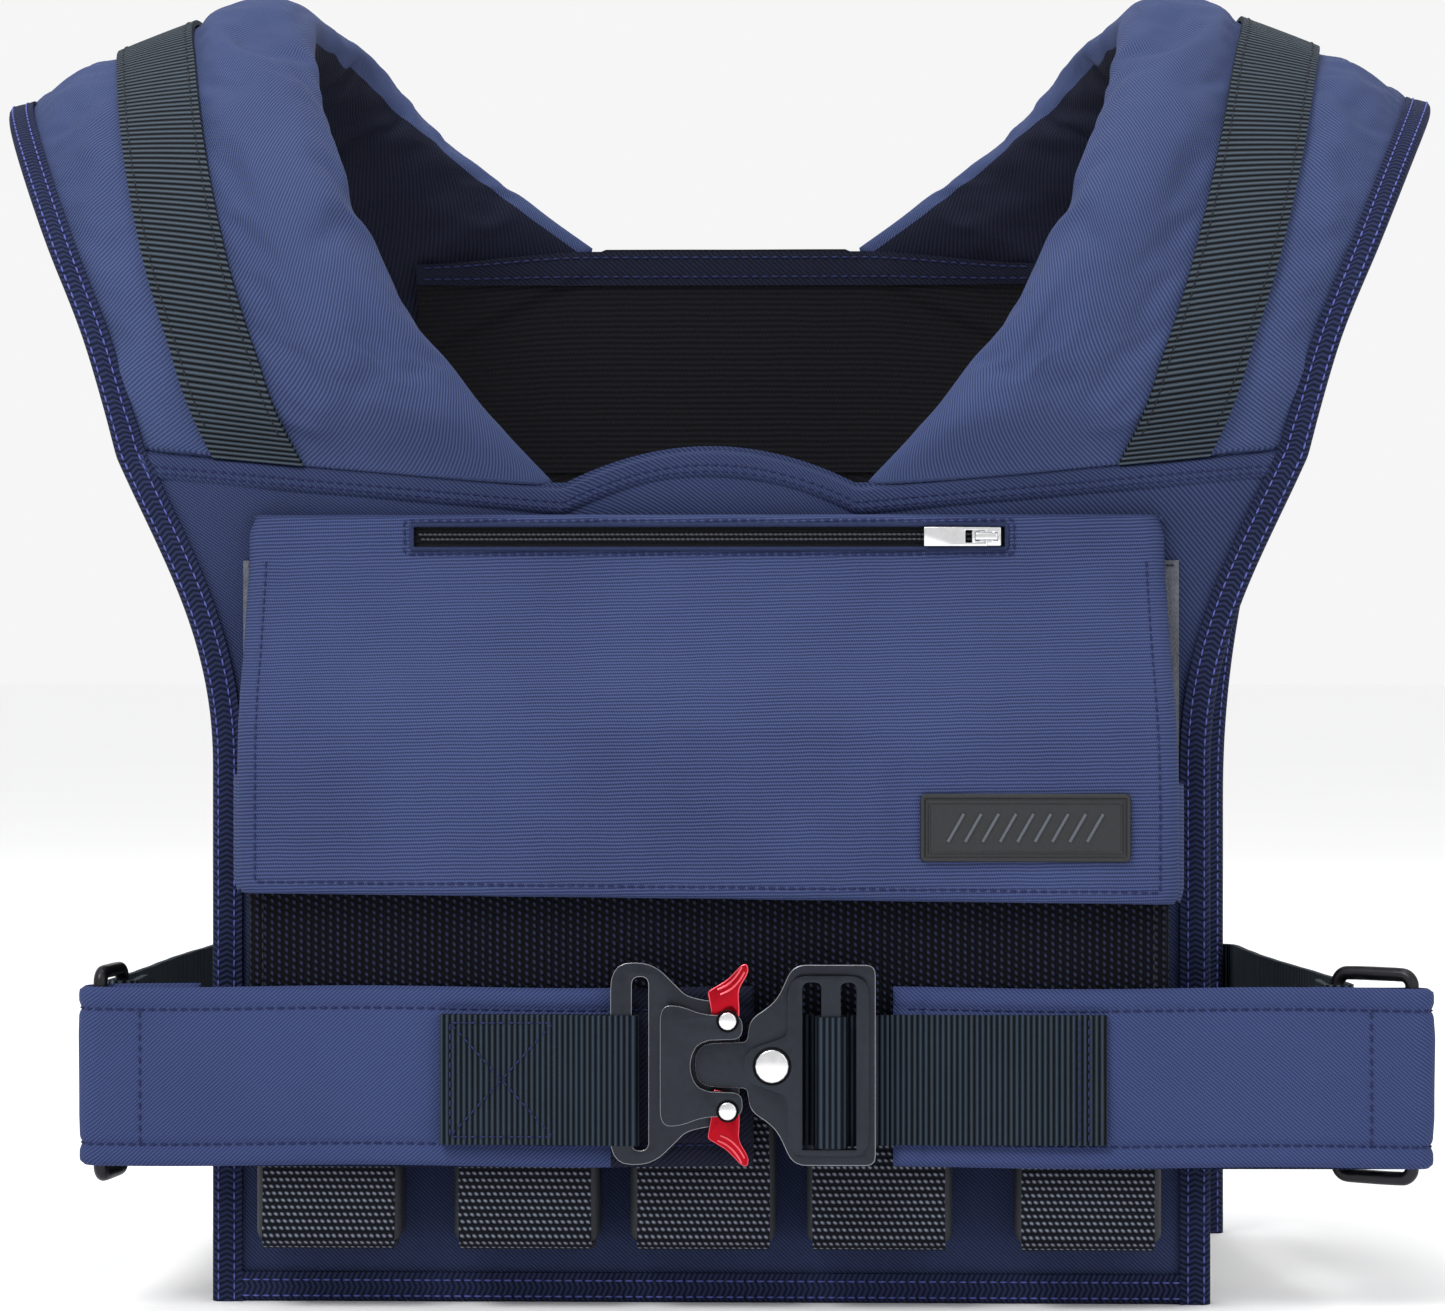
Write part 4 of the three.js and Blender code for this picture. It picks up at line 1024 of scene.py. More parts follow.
FLAP_FACE = -front_of("front_flap")
FLAP_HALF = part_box("front_flap")[1].x / MM
FLAP_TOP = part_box("front_flap")[1].z / MM
FLAP_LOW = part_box("front_flap")[0].z / MM
ZIP_Z = 235.0
SLOT_REACH = 90.0
SLOT_HALF = 3.6
label_low, label_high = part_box("label_patch")
label_half = ((label_high.x - label_low.x) / 2 / MM, (label_high.z - label_low.z) / 2 / MM)
label_mid = middle_of("label_patch")
label_face = front_of("label_patch")

flap_profile = even(np.array([
    (SEAT, FLAP_TOP - 0.2), (98.2, FLAP_TOP - 0.1), (100.2, 241.0), (ZIP_PLANE, 239.3),
    (ZIP_PLANE, 229), (ZIP_PLANE + 2.3, 221), (ZIP_PLANE + 7, 211), (113.5, 198), (120.2, 187),
    (124, 176), (FLAP_FACE, 165), (FLAP_FACE, 126.2), (FLAP_FACE - 0.5, 124.8), (FLAP_FACE - 1.8, 124.1),
    (122, 124.1), (120.9, 124.8), (120.6, 126.4), (120.6, 150), (120.6, 160),
], float), 900)
FACE_RUN = length_of(flap_profile[: int(np.argmin(np.abs(flap_profile[:, 1] - 124.5)))])
TOTAL_RUN = length_of(flap_profile)
SIDE_SHARE = 0.075
CORNER_SHARE = 0.045
FLAP_CHEEK = 24
FLAP_CLOTH = 1.7
FLAP_CORNER = 5.5
SEAM_IN = 0.5
SEAM_UP = 3.8
SEAM_TOP = 228


def flap_place(facing):
    def place(u, v):
        here = along_rows(flap_profile, v)
        depth, z = here[:, 0], here[:, 1]
        stand = np.maximum(depth - SEAT, 0.01)
        radius = np.minimum(FLAP_CORNER, stand * 0.75)
        near = np.minimum(u, 1 - u)
        sign = np.where(u < 0.5, -1.0, 1.0)
        cheek = near / SIDE_SHARE
        turn = np.clip((near - SIDE_SHARE) / CORNER_SHARE, 0, 1) * math.pi / 2
        flat = np.clip((near - SIDE_SHARE - CORNER_SHARE) / (0.5 - SIDE_SHARE - CORNER_SHARE), 0, 1)
        half = FLAP_HALF - 0.2
        x = np.where(near < SIDE_SHARE, half, half - radius * (1 - np.cos(turn)) - (half - radius) * flat)
        y = np.where(near < SIDE_SHARE, SEAT + (stand - radius) * cheek, depth - radius * (1 - np.sin(turn)))
        outside = 1 - smoothstep(v * TOTAL_RUN, FACE_RUN - 12, FACE_RUN)
        seam = smoothstep(flat, 0.02, 0.09) * smoothstep(z, FLAP_LOW + 3, FLAP_LOW + 16)
        seam = seam * smoothstep(ZIP_Z - 5 - z, 0, 14)
        swell = np.sin(x * sign * 0.021 + 0.6) * np.sin((z - 120) * 0.043 + 0.4)
        swell = swell + 0.5 * np.sin(x * sign * 0.05 + z * 0.031)
        signed = sign * x if facing < 0 else np.full(len(x), 999.0)
        patch = smoothstep(label_half[0] + 14 - np.abs(signed - label_mid[0]), 0, 10)
        patch = patch * smoothstep(label_half[1] + 14 - np.abs(z - label_mid[1]), 0, 10)
        y = y + outside * seam * (1 - patch) * (0.9 + 0.7 * swell)
        top_round = smoothstep(z, FLAP_TOP - 9, FLAP_TOP)
        low_round = smoothstep(FLAP_LOW + 7 - z, 0, 7)
        taper = 1.7 * smoothstep(z, 150, 240)
        x = sign * x * (1 - (top_round**2 * 2 + low_round**2 * 1.2 + taper) / half)
        x = x - 1.2 * smoothstep(z, 150, 240)
        z = z + (1 - smoothstep(z, 140, 230)) * (1.6 - x * 0.011)
        return np.column_stack([x, facing * y, z])

    return place


def cut_slot(cover):
    """Cuts the zip's opening along four planes, and takes out the cloth between them."""
    use(cover)
    bpy.ops.object.mode_set(mode="EDIT")
    cuts = [(x, ZIP_Z, (1, 0, 0)) for x in (-SLOT_REACH - 0.6, SLOT_REACH + 0.6)]
    cuts += [(0, z, (0, 0, 1)) for z in (ZIP_Z - SLOT_HALF, ZIP_Z + SLOT_HALF)]
    for x, z, normal in cuts:
        bpy.ops.mesh.select_all(action="SELECT")
        bpy.ops.mesh.bisect(plane_co=to_frame([(x, 0, z)])[0], plane_no=normal)
    bpy.ops.mesh.select_all(action="DESELECT")
    bpy.ops.object.mode_set(mode="OBJECT")
    for face in cover.data.polygons:
        x, z = face.center.x / MM, face.center.z / MM
        face.select = abs(x) < SLOT_REACH + 0.6 and abs(z - ZIP_Z) < SLOT_HALF
    bpy.ops.object.mode_set(mode="EDIT")
    bpy.ops.mesh.select_mode(type="FACE")
    bpy.ops.mesh.delete(type="FACE")
    bpy.ops.object.mode_set(mode="OBJECT")


def flap_rows(place, inset, low, high):
    """A line of sewing round the flap's face, this far in from its edges."""
    heights = flap_profile[:, 1]
    start = int(np.argmax(heights < high))
    stop = int(np.argmax(heights < low))
    v = np.linspace(start, stop, 200) / (len(heights) - 1)
    rows = []
    u_edge = SIDE_SHARE + CORNER_SHARE + (0.5 - SIDE_SHARE - CORNER_SHARE) * inset / FLAP_HALF
    for u in (u_edge, 1 - u_edge):
        rows.append(place(np.full(200, u), v))
    across = np.linspace(u_edge, 1 - u_edge, 400)
    rows.append(place(across, np.full(400, v[-1])))
    return rows


def flap(node, facing, body, slotted=False):
    place = flap_place(facing)
    width = 2 * (FLAP_HALF + FLAP_CHEEK)
    cover = cloth_grid(f"{node}_quilt", (260, 190), (width, TOTAL_RUN), place)
    if facing < 0:
        cover.data.flip_normals()
    if slotted:
        cut_slot(cover)
    shape_with(cover, "SOLIDIFY", thickness=FLAP_CLOTH * MM, offset=-1)
    finished(cover, navy_twill, body, "navy_fabric", node, turn=60)
    sewn = flap_rows(place, SEAM_IN, FLAP_LOW + SEAM_UP, SEAM_TOP)
    rows = [facing_y(row + (0, 0.1 * facing, 0), facing) for row in sewn]
    stitches(f"{node}_stitches", rows, 3.0, navy_thread, body)


flap("front_flap", -1, "front_cover", slotted=True)
flap("back_flap", 1, "rear_cover")

# ---------------------------------------------------------------- closure strips
# A strip of grey loop pile is sewn down each side of the front panel, with a bar tack at each
# end. The flap's hooks close on it.
def loop_pile():
    material, term, paint = finish("loop_pile", Roughness=0.95, Specular_IOR_Level=0.1)
    place = place_of(term)
    curl = place.noise(1100.0, 3.0)
    tuft = place.noise(260.0)
    shade = curl * 0.6 + tuft * 0.5
    paint("Base Color", shade.blend((0.03, 0.033, 0.042), (0.17, 0.18, 0.21)))
    paint("Normal", relief(term, curl, 0.0006, 1.0))
    return material


grey_pile = loop_pile()
for side, label in ((-1, "left"), (1, "right")):
    node = f"closure_strip_{label}"
    low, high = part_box(node)
    face = -(levels(node)[1])
    ends = (abs(low.x) / MM, abs(high.x) / MM)
    inner, outer = min(ends), max(ends)
    base, top = low.z / MM, high.z / MM

    def strip_place(u, v):
        edge = np.minimum(np.minimum(u, 1 - u) * (outer - inner), np.minimum(v, 1 - v) * (top - base))
        lift = smoothstep(edge, 0, 1.2)
        x = inner + u * (outer - inner)
        return np.column_stack([x, face + 0.5 * (1 - lift), base + v * (top - base)])

    strip = cloth_grid(f"closure_pile_{label}", (24, 90), (outer - inner, top - base), strip_place, side)
    shape_with(strip, "SOLIDIFY", thickness=0.9 * MM, offset=-1)
    finished(strip, grey_pile, "vest", "grey_loop", node)
    tack = []
    for z in (base + 1.6, top - 1.6):
        x = np.linspace(inner + 1.5, outer - 1.5, 30)
        tack.append(facing_y(np.column_stack([x, np.full(30, face - 0.2), np.full(30, z)]), -1))
    stitches(f"closure_tacks_{label}", tack, 1.3, black_thread, "vest", side, 0.3)

# ---------------------------------------------------------------- zip, slider and pull
# A black coil zip lies behind a welted slot near the flap's top. Its steel slider has a light wire
# pull, and the welt is sewn round.
zip_face = front_of("zip_tape")


def zip_ribbon(u, v):
    x = (2 * u - 1) * SLOT_REACH
    z = ZIP_Z + (2 * v - 1) * (SLOT_HALF - 0.7)
    return np.column_stack([x, np.full(len(x), zip_face + 0.55), z])


zip_cloth = cloth_grid("zip_ribbon", (120, 12), (2 * SLOT_REACH, 2 * SLOT_HALF), zip_ribbon)
shape_with(zip_cloth, "SOLIDIFY", thickness=0.7 * MM, offset=0)
finished(zip_cloth, dark_lining, "front_cover", "zip_coil", "zip_tape")


def coil_finish():
    material, term, paint = finish("zip_coil", Roughness=0.45)
    grain = place_of(term).noise(900.0)
    paint("Base Color", grain.blend((0.006, 0.007, 0.01), (0.03, 0.032, 0.045)))
    paint("Roughness", grain * 0.2 + 0.35)
    return material


coil_rows = []
for rise, slip in ((0.75, 0.0), (-0.75, 0.8)):
    x = np.linspace(-SLOT_REACH + 1 + slip, SLOT_REACH - 1, 200)
    coil_row = np.column_stack([x, np.full(200, zip_face), np.full(200, ZIP_Z + rise)])
    coil_rows.append(facing_y(coil_row, -1))
coil = stitches("zip_coil_teeth", coil_rows, 1.5, coil_finish(), "front_cover", 1, 0.5)


def tube(name, points, radius, material, body, closed=True):
    """A bent round wire or cord through points in millimetres, as a mesh."""
    curve = bpy.data.curves.new(name, "CURVE")
    curve.dimensions = "3D"
    curve.bevel_depth = radius * MM
    curve.bevel_resolution = 3
    curve.use_fill_caps = True
    spline = curve.splines.new("POLY")
    spline.points.add(len(points) - 1)
    placed = to_frame(points)
    for point, place in zip(spline.points, placed):
        point.co = (*place, 1)
    spline.use_cyclic_u = closed
    holder = bpy.data.objects.new(name, curve)
    bpy.context.scene.collection.objects.link(holder)
    use(holder)
    bpy.ops.object.convert(target="MESH")
    made = bpy.context.object
    made.data.materials.append(material)
    bpy.ops.object.shade_smooth()
    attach(made, body)


def rounded_frame(half_x, half_z, corner, y, centre=(0.0, 0.0)):
    """Points round a rectangle with round corners, on a plane across Y."""
    points = []
    for sx, sz, start in ((1, 1, 0), (-1, 1, 90), (-1, -1, 180), (1, -1, 270)):
        middle = (centre[0] + sx * (half_x - corner), centre[1] + sz * (half_z - corner))
        points += [(x, y, z) for x, z in turn_arc(middle, corner, start, start + 90, 5)]
    return points


welt = rounded_frame(SLOT_REACH + 0.8, SLOT_HALF + 0.1, 0.8, -ZIP_PLANE - 0.25, (0, ZIP_Z))
tube("zip_welt", welt, 0.75, navy_twill, "front_cover")
welt_sewn = np.array(rounded_frame(SLOT_REACH + 3.0, SLOT_HALF + 1.6, 1.0, -ZIP_PLANE - 0.25, (0, ZIP_Z)))
welt_sewn = np.vstack([welt_sewn, welt_sewn[:1]])
stitches("zip_welt_stitches", [facing_y(welt_sewn, -1)], 2.8, navy_thread, "front_cover")

# ---------------------------------------------------------------- hard pieces
# Metal pieces keep their CAD shape, with their edges eased as a tumbled casting's are. The bevels
# of the buckle and levers take a lighter material: partly plating worn bright, partly a painted highlight.
BEVEL_STEPS = 3
EDGE_FROM = math.radians(28)


def eased(name, node, material, body, slot_name, width, edge=None, subdivide=0, merge=True):
    """A copy of a CAD piece with its sharp edges bevelled. edge is the bevels' own lighter material, a
    painted highlight with some wear.
    """
    made = bpy.data.objects.new(name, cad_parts[node].data.copy())
    bpy.context.scene.collection.objects.link(made)
    made.data.materials.clear()
    made.data.materials.append(material)
    if edge:
        made.data.materials.append(edge)
    use(made)
    bpy.ops.object.mode_set(mode="EDIT")
    bpy.ops.mesh.select_all(action="SELECT")
    bpy.ops.mesh.remove_doubles(threshold=0.00002)
    if merge:
        bpy.ops.mesh.dissolve_limited(angle_limit=math.radians(1.0))
    bpy.ops.object.mode_set(mode="OBJECT")
    if width:
        settings = {"width": width * MM, "segments": BEVEL_STEPS, "limit_method": "ANGLE"}
        settings.update(angle_limit=EDGE_FROM, use_clamp_overlap=True, harden_normals=False)
        shape_with(made, "BEVEL", material=1 if edge else -1, **settings)
    if subdivide:
        shape_with(made, "SUBSURF", levels=subdivide, render_levels=subdivide)
    finished(made, None, body, slot_name, node, turn=38)


def metal(name, colour, bright, rough, metallic=0.9):
    material, term, paint = finish(name, Metallic=metallic)
    place = place_of(term)
    grain = place.noise(420.0, 3.0)
    cloud = place.noise(40.0, 3.0)
    shade = grain * 0.45 + cloud * 0.55
    paint("Base Color", shade.blend(colour, bright))
    paint("Roughness", grain * 0.16 + cloud * 0.12 + (rough - 0.14))
    paint("Normal", relief(term, grain, 0.00006, 0.5))
    return material


bright_steel = metal("bright_steel", (0.55, 0.55, 0.56), (0.82, 0.82, 0.83), 0.2, metallic=1.0)
dark_wire = metal("dark_wire", (0.012, 0.012, 0.014), (0.04, 0.04, 0.045), 0.38)
gunmetal = metal("gunmetal", (0.013, 0.015, 0.02), (0.036, 0.041, 0.052), 0.36)
# Lighter gunmetal for the bevels: partly wear, partly a painted highlight.
gunmetal_wear_and_highlight = metal("gunmetal_wear_and_highlight", (0.19, 0.2, 0.22), (0.33, 0.34, 0.365), 0.27)
red_anodised = metal("red_anodised", (0.24, 0.001, 0.006), (0.42, 0.004, 0.014), 0.24)
# Lighter red for the levers' bevels and grip ridges: a painted highlight.
red_highlight = metal("red_highlight", (0.6, 0.05, 0.075), (0.85, 0.13, 0.16), 0.2)

eased("zip_slider_body", "zip_slider", bright_steel, "slider", "bright_steel", 0.5)
eased("zip_pull_wire", "zip_pull", bright_steel, "pull_tab", "bright_steel", 0.25)

# ---------------------------------------------------------------- rubber label
# A moulded black rubber patch with a raised rim is sewn low on the flap. It carries plain slanting
# ridges.
def rubber():
    material, term, paint = finish("moulded_rubber", Specular_IOR_Level=0.35)
    place = place_of(term)
    grain = place.noise(1400.0, 2.0)
    paint("Base Color", grain.blend((0.008, 0.009, 0.011), (0.02, 0.021, 0.024)))
    paint("Roughness", grain * 0.2 + 0.38)
    paint("Normal", relief(term, grain, 0.00008, 0.5))
    return material


moulded_rubber = rubber()
LABEL_CORNER = 1.6


def label_place(u, v):
    """A shallow tray: its rim and one inner line stand up, and its corners are round."""
    p = np.column_stack([(2 * u - 1) * label_half[0], (2 * v - 1) * label_half[1]])
    core = np.array(label_half) - LABEL_CORNER
    over = np.abs(p) - core
    corner = (over > 0).all(axis=1)
    reach = np.linalg.norm(np.maximum(over, 0), axis=1)
    square = np.maximum(over, 0).max(axis=1)
    pull = np.where(corner, square / np.maximum(reach, 1e-6), 1.0)
    p = np.where(corner[:, None], np.sign(p) * (core + np.maximum(over, 0) * pull[:, None]), p)
    inset = LABEL_CORNER - np.where(corner, square, over.max(axis=1))
    rim = smoothstep(inset, 0, 0.35) * (1 - smoothstep(inset, 1.2, 1.6))
    line = smoothstep(inset, 2.3, 2.6) * (1 - smoothstep(inset, 2.9, 3.2))
    depth = 0.75 - 0.7 * rim - 0.3 * line
    return np.column_stack([label_mid[0] + p[:, 0], label_face + depth, label_mid[1] + p[:, 1]])


label = cloth_grid("label_rubber_patch", (220, 84), (2 * label_half[0], 2 * label_half[1]), label_place)
shape_with(label, "SOLIDIFY", thickness=0.7 * MM, offset=-1)
finished(label, moulded_rubber, "front_cover", "label_rubber", "label_patch", turn=35)


def ridge_finish():
    material, term, paint = finish("raised_ridge", Roughness=0.42, Specular_IOR_Level=0.4)
    grain = place_of(term).noise(1200.0)
    paint("Base Color", grain.blend((0.05, 0.06, 0.075), (0.09, 0.1, 0.12)))
    paint("Normal", relief(term, grain, 0.00006, 0.5))
    return material


raised_ridge = ridge_finish()
RIDGES = 9
RIDGE_PITCH = 5.2
RIDGE_REACH = np.array([2.4, 0.0, 4.2])
for i in range(RIDGES):
    x = label_mid[0] + (i - (RIDGES - 1) / 2) * RIDGE_PITCH
    middle = np.array([x, label_face + 0.6, label_mid[1]])
    line = even(np.array([middle - RIDGE_REACH, middle + RIDGE_REACH]), 12)
    tube(f"label_ridge_{i + 1}", line, 0.5, raised_ridge, "front_cover", False)

# ---------------------------------------------------------------- belt, its rings and straps
# The belt is two padded navy straps. Each turns round a wire ring at the side and is sewn back on
# itself, and a black strap joins the ring to the back panel.
belt_low, belt_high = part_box("belt_left")
BELT_BASE, BELT_TOP = belt_low.z / MM, belt_high.z / MM
BELT_HALF = 1.8
BELT_DEPTH = front_of("belt_left") + BELT_HALF
RING_HALF = 2.25
BELT_BEND = RING_HALF + 0.6 + BELT_HALF
BELT_SEAM = 6.6
BELT_END_SEAM = 13.0
# The stretch of belt, in X, that carries the buckle's painted shadow.
BUCKLE_SHADOW_SPAN = (-29.0, 15.0)


def path_normals(path):
    tangent = unit(np.gradient(path, axis=0))
    return np.column_stack([tangent[:, 1], -tangent[:, 0]])


def belt_half(name, node, inner_end, bar_x):
    sign = 1 if bar_x > 0 else -1
    deep = BELT_DEPTH + BELT_BEND
    line = [(inner_end, BELT_DEPTH)]
    line += [(bar_x + sign * (x - bar_x), y) for x, y in turn_arc((bar_x, deep), BELT_BEND, -90, 90, 24)]
    line += [(bar_x - sign * 30, deep + BELT_BEND)]
    path = even(np.array(line, float), 700)
    run = length_of(path)
    normals = path_normals(path) * sign
    table = np.hstack([path, normals])

    def place(u, v, proud=0.0):
        here = along_rows(table, u)
        out = v < 0.5
        w = np.where(out, v * 2, 2 - 2 * v)
        height = BELT_BASE + w * (BELT_TOP - BELT_BASE)
        edge = np.minimum(height - BELT_BASE, BELT_TOP - height)
        ends = np.minimum(u, 1 - u) * run
        body = BELT_HALF * np.sqrt(np.clip(1 - (1 - np.clip(edge / 2.0, 0, 1)) ** 2, 0, 1))
        dent = 0.95 * np.exp(-(((edge - BELT_SEAM) / 1.1) ** 2)) + 0.6 * np.exp(-(((ends - 9) / 0.9) ** 2))
        swell = 0.5 * smoothstep(edge, 8, 16) * (0.6 + 0.4 * np.sin(u * run * 0.09))
        body = body * (0.35 + 0.65 * smoothstep(ends, 0, 2.2)) - dent * (edge > 0.8) + swell - 0.15
        body = np.maximum(body, 0.12) + proud
        side = np.where(out, 1.0, -1.0)
        wave = 0.35 * np.sin(u * run * 0.055 + 1.0) * np.sin(w * 5)
        x = here[:, 0] + here[:, 2] * (side * body + wave)
        y = here[:, 1] + here[:, 3] * (side * body + wave)
        z = height + 0.35 * np.sin(u * run * 0.05 + 2.0)
        return np.column_stack([x, y, z])

    belt = cloth_grid(name, (260, 96), (run, 2 * (BELT_TOP - BELT_BASE)), place)
    close_roll(belt)
    belt.data.materials.append(navy_belt)
    belt.data.materials.append(shaded_twill)
    # Faces behind the buckle take the near black shaded twill: the buckle's shadow painted on the belt.
    for face in belt.data.polygons:
        face.material_index = 1 if BUCKLE_SHADOW_SPAN[0] < face.center.x / MM < BUCKLE_SHADOW_SPAN[1] else 0
    finished(belt, None, "vest", "navy_fabric", node, turn=70)
    u = np.linspace(0.02, 0.98, 400)
    normal = np.column_stack([along_rows(table, u)[:, 2:], np.zeros(400)])
    rows = []
    for share in (BELT_SEAM, BELT_TOP - BELT_BASE - BELT_SEAM):
        v = np.full(400, share / (BELT_TOP - BELT_BASE) / 2)
        rows.append((place(u, v, 0.25), normal))
    for reach in (9, abs(bar_x - inner_end) - BELT_END_SEAM):
        across = np.linspace(0.12, 0.88, 60) / 2
        at = np.full(60, reach / run)
        flat = np.column_stack([along_rows(table, at)[:, 2:], np.zeros(60)])
        rows.append((place(at, across, 0.25), flat))
    stitches(name + "_stitches", rows, 3.2, navy_thread, "vest")


BELT_BAR = {"left": -184.0, "right": 212.0}
belt_half("belt_left_strap", "belt_left", 14.0, BELT_BAR["left"])
belt_half("belt_right_strap", "belt_right", 56.0, BELT_BAR["right"])

eased("side_ring_left_wire", "side_ring_left", dark_wire, "vest", "ring_wire", 0, subdivide=1, merge=False)
eased("side_ring_right_wire", "side_ring_right", dark_wire, "vest", "ring_wire", 0, subdivide=1, merge=False)


def upright_ribbon(name, line, base, top, thick, cuts, wave=0.0):
    """A webbing that follows a line of X and Y and stands on edge between two heights."""
    path = even(smoothed(np.array(line, float)), 600)
    run = length_of(path)
    normals = path_normals(path)

    def place(u, v):
        here = along_rows(np.hstack([path, normals]), u)
        sway = wave * np.sin(u * run * 0.21) * (v - 0.5)
        x = here[:, 0] + here[:, 2] * sway
        y = here[:, 1] + here[:, 3] * sway
        return np.column_stack([x, y, base + v * (top - base)])

    piece = cloth_grid(name, cuts, (run, top - base), place)
    shape_with(piece, "SOLIDIFY", thickness=thick * MM, offset=0)
    return piece


def smoothed(points, passes=2):
    """Rounds a bent line's corners, keeping its two ends."""
    for _ in range(passes):
        near = points[:-1] * 0.75 + points[1:] * 0.25
        far = points[:-1] * 0.25 + points[1:] * 0.75
        points = np.vstack([points[:1], np.stack([near, far], 1).reshape(-1, 2), points[-1:]])
    return points


def face_rows(ends, y, facing=-1):
    """Straight sewing between pairs of X and Z points on a plane across Y."""
    return [facing_y(even(np.array([(a, y, b), (c, y, d)], float), 40), facing) for (a, b), (c, d) in ends]


STRAP_BEND = RING_HALF + 0.6 + 1
STRAP_SEWN = PANEL_DEPTH + PANEL_HALF + 0.3 + 1.2 + 0.3 + 1
STRAP_EDGE = BACK_HALF_WIDTH + 1.5
rear_bars = {
    "left": (BELT_BAR["left"] + 3, BELT_DEPTH + BELT_BEND + 23),
    "right": (BELT_BAR["right"] - 21, BELT_DEPTH + BELT_BEND + 13),
}
strap_corners = [(x, z) for x in (148.5, 160) for z in (47.5, 96.5)]
strap_lines = [(strap_corners[i], strap_corners[k]) for i, k in ((0, 1), (2, 3), (0, 3), (1, 2))]
for side, label in ((-1, "left"), (1, "right")):
    bar_x, bar_y = abs(rear_bars[label][0]), rear_bars[label][1]
    line = [(bar_x - STRAP_BEND, bar_y + 22)]
    line += turn_arc((bar_x, bar_y), STRAP_BEND, 180, 360, 14)
    line += [
        (bar_x + STRAP_BEND - 3, bar_y + 40), (STRAP_EDGE + 9, 20), (STRAP_EDGE + 5, STRAP_SEWN - 22),
        (STRAP_EDGE + 4, STRAP_SEWN - 3), (STRAP_EDGE + 1.6, STRAP_SEWN + 0.4),
        (STRAP_EDGE - 2.4, STRAP_SEWN + 0.5), (STRAP_EDGE - 11, STRAP_SEWN), (146, STRAP_SEWN),
    ]
    line = [(side * x, y) for x, y in line]
    name = f"side_strap_{label}_webbing"
    strap = upright_ribbon(name, line, BELT_BASE, BELT_TOP, 1.9, (260, 18), 0.3)
    finished(strap, shoulder_rib, "vest", "black_webbing", f"side_strap_{label}")
    sewn = face_rows(strap_lines, STRAP_SEWN + 1.05, 1)
    stitches(f"side_strap_{label}_stitches", sewn, 3.0, navy_thread, "vest", side)

# ---------------------------------------------------------------- belt webbing
# The buckle's two halves are held by ribbed webbing: the left is sewn to the belt with a boxed
# cross, and the right goes back through the adjuster.
WEB_BASE, WEB_TOP = 52.0, 91.0
RUN_DEPTH = BELT_DEPTH - BELT_HALF - 0.3 - 0.8
DOUBLED = RUN_DEPTH - 1.9
base_back = -RUN_DEPTH + 0.8 + 0.45
over_bar = -(base_back + 2.4 + 0.3 + 0.8)
left_line = [
    (-80, DOUBLED), (-44.8, DOUBLED), (-30.8, over_bar), (-21.7, over_bar), (-20.9, over_bar + 0.8),
    (-20.9, RUN_DEPTH - 0.8), (-21.7, RUN_DEPTH), (-80, RUN_DEPTH),
]
left_web = upright_ribbon("belt_webbing_left_strap", left_line, WEB_BASE, WEB_TOP, 1.5, (240, 16))
finished(left_web, belt_rib, "vest", "black_webbing", "belt_webbing_left")
right_line = [(24.6, RUN_DEPTH), (60, RUN_DEPTH), (118.5, RUN_DEPTH), (120, RUN_DEPTH + 0.2)]
right_web = upright_ribbon("belt_webbing_right_strap", right_line, WEB_BASE, WEB_TOP, 1.5, (160, 16))
finished(right_web, belt_rib, "vest", "black_webbing", "belt_webbing_right")


box_low, box_high, box_left, box_right = WEB_BASE + 2.4, WEB_TOP - 2.4, -77.0, -46.0
box_corners = [(box_left, box_low), (box_right, box_low), (box_right, box_high), (box_left, box_high)]
box_lines = [(box_corners[i], box_corners[(i + 1) % 4]) for i in range(4)]
box_lines += [(box_corners[0], box_corners[2]), (box_corners[1], box_corners[3])]
stitches("boxed_cross_stitches", face_rows(box_lines, DOUBLED - 0.85), 2.8, navy_thread, "vest")
end_lines = [((x, WEB_BASE + 1), (x, WEB_TOP - 1)) for x in (111.5, 114.5)]
stitches("webbing_end_stitches", face_rows(end_lines, RUN_DEPTH - 0.85), 2.6, navy_thread, "vest")

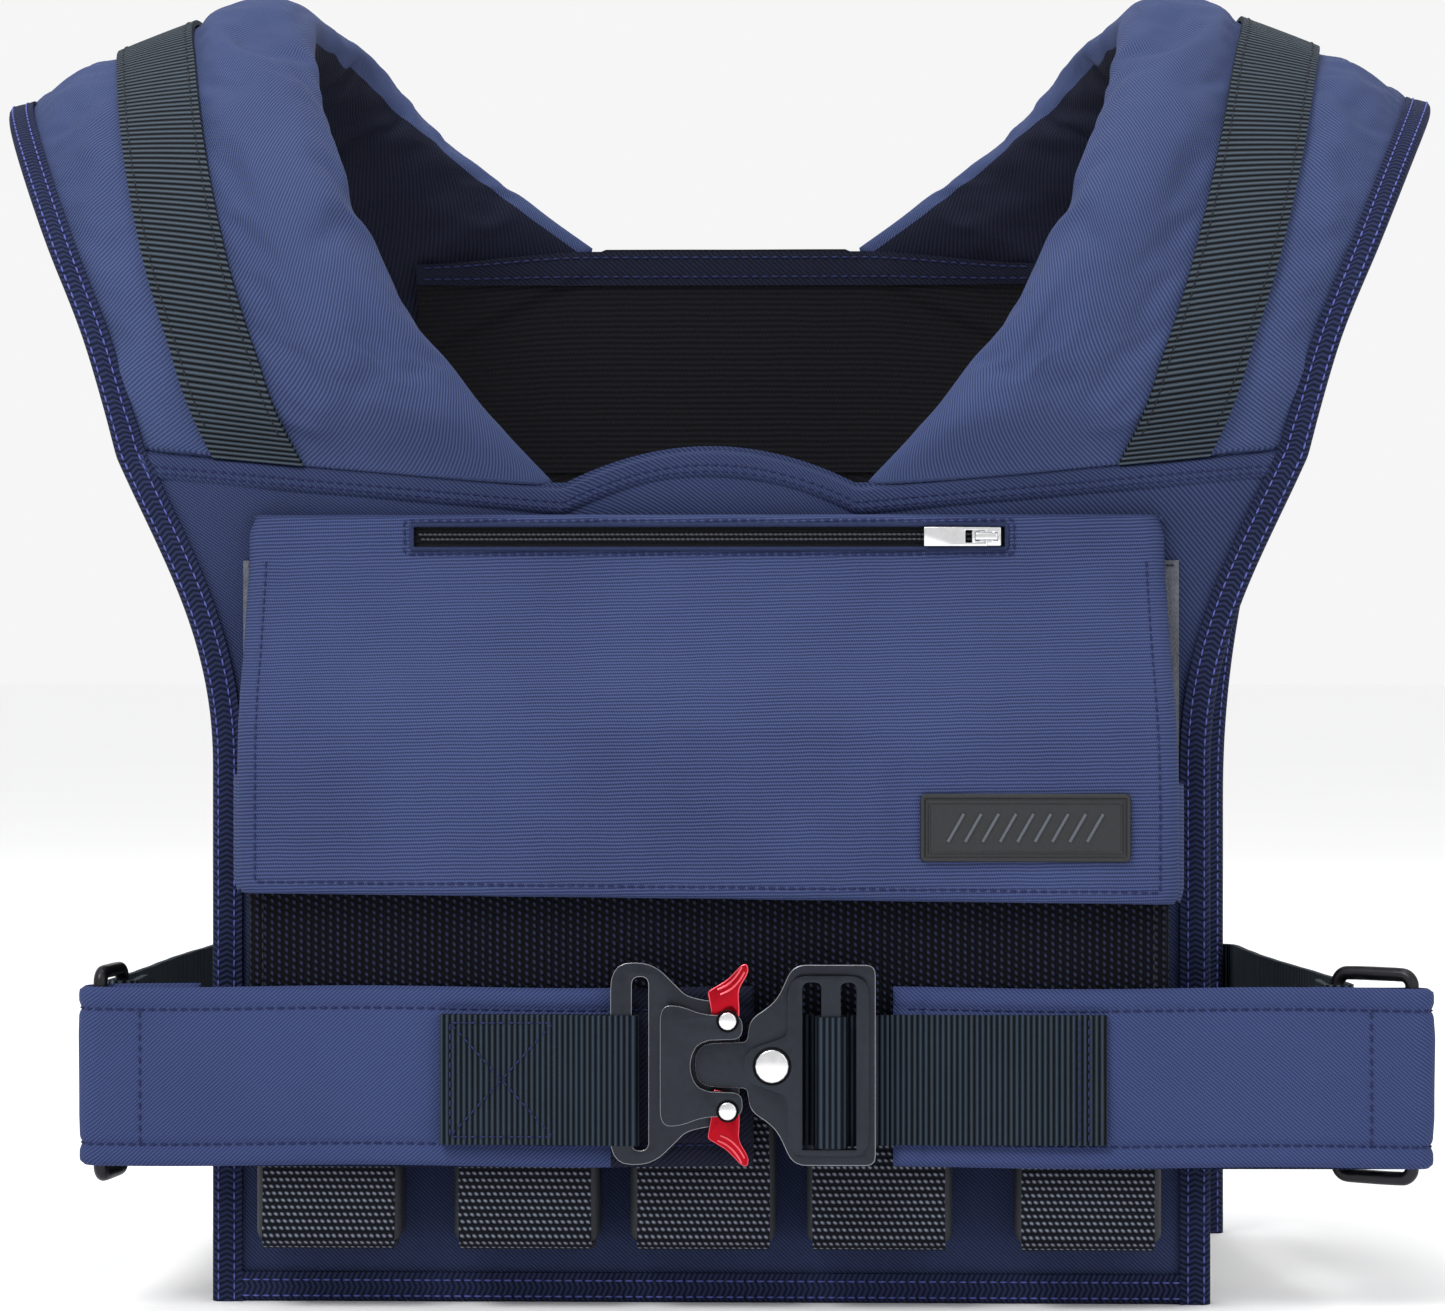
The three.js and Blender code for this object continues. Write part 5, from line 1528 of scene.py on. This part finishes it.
# ---------------------------------------------------------------- quick-release buckle
# A cast buckle in two halves: a housing with two red sprung levers, and a tongue that carries the
# webbing adjuster. Bright rivets hold the layers together.
for node, new_name, body in (
    ("buckle_base", "buckle_base_plate", "vest"),
    ("buckle_cover", "buckle_cover_plate", "vest"),
    ("buckle_tongue", "buckle_tongue_plate", "tongue_half"),
    ("adjuster_frame", "adjuster_frame_plate", "tongue_half"),
):
    whole = node != "adjuster_frame"
    eased(new_name, node, gunmetal, body, "buckle_metal", 0.7, gunmetal_wear_and_highlight, merge=whole)
for node, body in (("release_lever_upper", "upper_lever"), ("release_lever_lower", "lower_lever")):
    eased(node + "_claw", node, red_anodised, body, "lever_red", 0.55, red_highlight)
# Two grip ridges on each lever, drawn in the lighter red as a painted highlight.
RIDGE_PATH = [(-2.8, 8.6), (-0.5, 9.6), (1.6, 11.3), (3.3, 13.4), (4.4, 15.4)]
for flip, label, body in ((1, "upper", "upper_lever"), (-1, "lower", "lower_lever")):
    middle = middle_of(f"lever_rivet_{label}")
    claw_face = front_of(f"release_lever_{label}")
    for count, step in enumerate((-1.0, 0.5)):
        bend = smoothed(np.array(RIDGE_PATH) + (step * -0.55, step))
        grip = [(middle[0] + x, claw_face - 0.05, middle[1] + flip * z) for x, z in bend]
        tube(f"lever_ridge_{label}_{count + 1}", grip, 0.4, red_highlight, body, False)
# A thin near black ring on the plate round each rivet head: painted shade in the gap round it.
recess_shade_black = metal("recess_shade_black", (0.002, 0.002, 0.003), (0.008, 0.008, 0.01), 0.5)
for node, reach, plate, body in (
    ("lever_rivet_upper", 3.1, "buckle_cover", "vest"),
    ("lever_rivet_lower", 3.1, "buckle_cover", "vest"),
    ("centre_rivet", 5.5, "adjuster_frame", "tongue_half"),
):
    eased(node + "_head", node, bright_steel, body, "bright_steel", 0.45)
    ring = [(x, front_of(plate) + 0.05, z) for x, z in turn_arc(middle_of(node), reach, 0, 345, 24)]
    tube(node + "_recess", ring, 0.34, recess_shade_black, body)

leg = DOUBLED
tongue_back = base_back + 2.4 + 0.3
bar_wrap = -(tongue_back + 3.6 + 0.3 + 3 - 1.5 + 0.3 + 0.8)
loop_line = [
    (54.7, leg), (34.4, leg), (33.4, leg - 1), (33.4, bar_wrap + 1), (34.4, bar_wrap), (40.3, bar_wrap),
    (41.3, bar_wrap + 1), (41.3, -(tongue_back + 1.4)), (42.3, -(tongue_back + 0.4)),
    (45.6, -(tongue_back + 0.4)),
]
loop = upright_ribbon("adjuster_webbing_loop", loop_line, WEB_BASE, WEB_TOP, 1.5, (120, 16))
finished(loop, belt_rib, "tongue_half", "black_webbing", "adjuster_webbing")
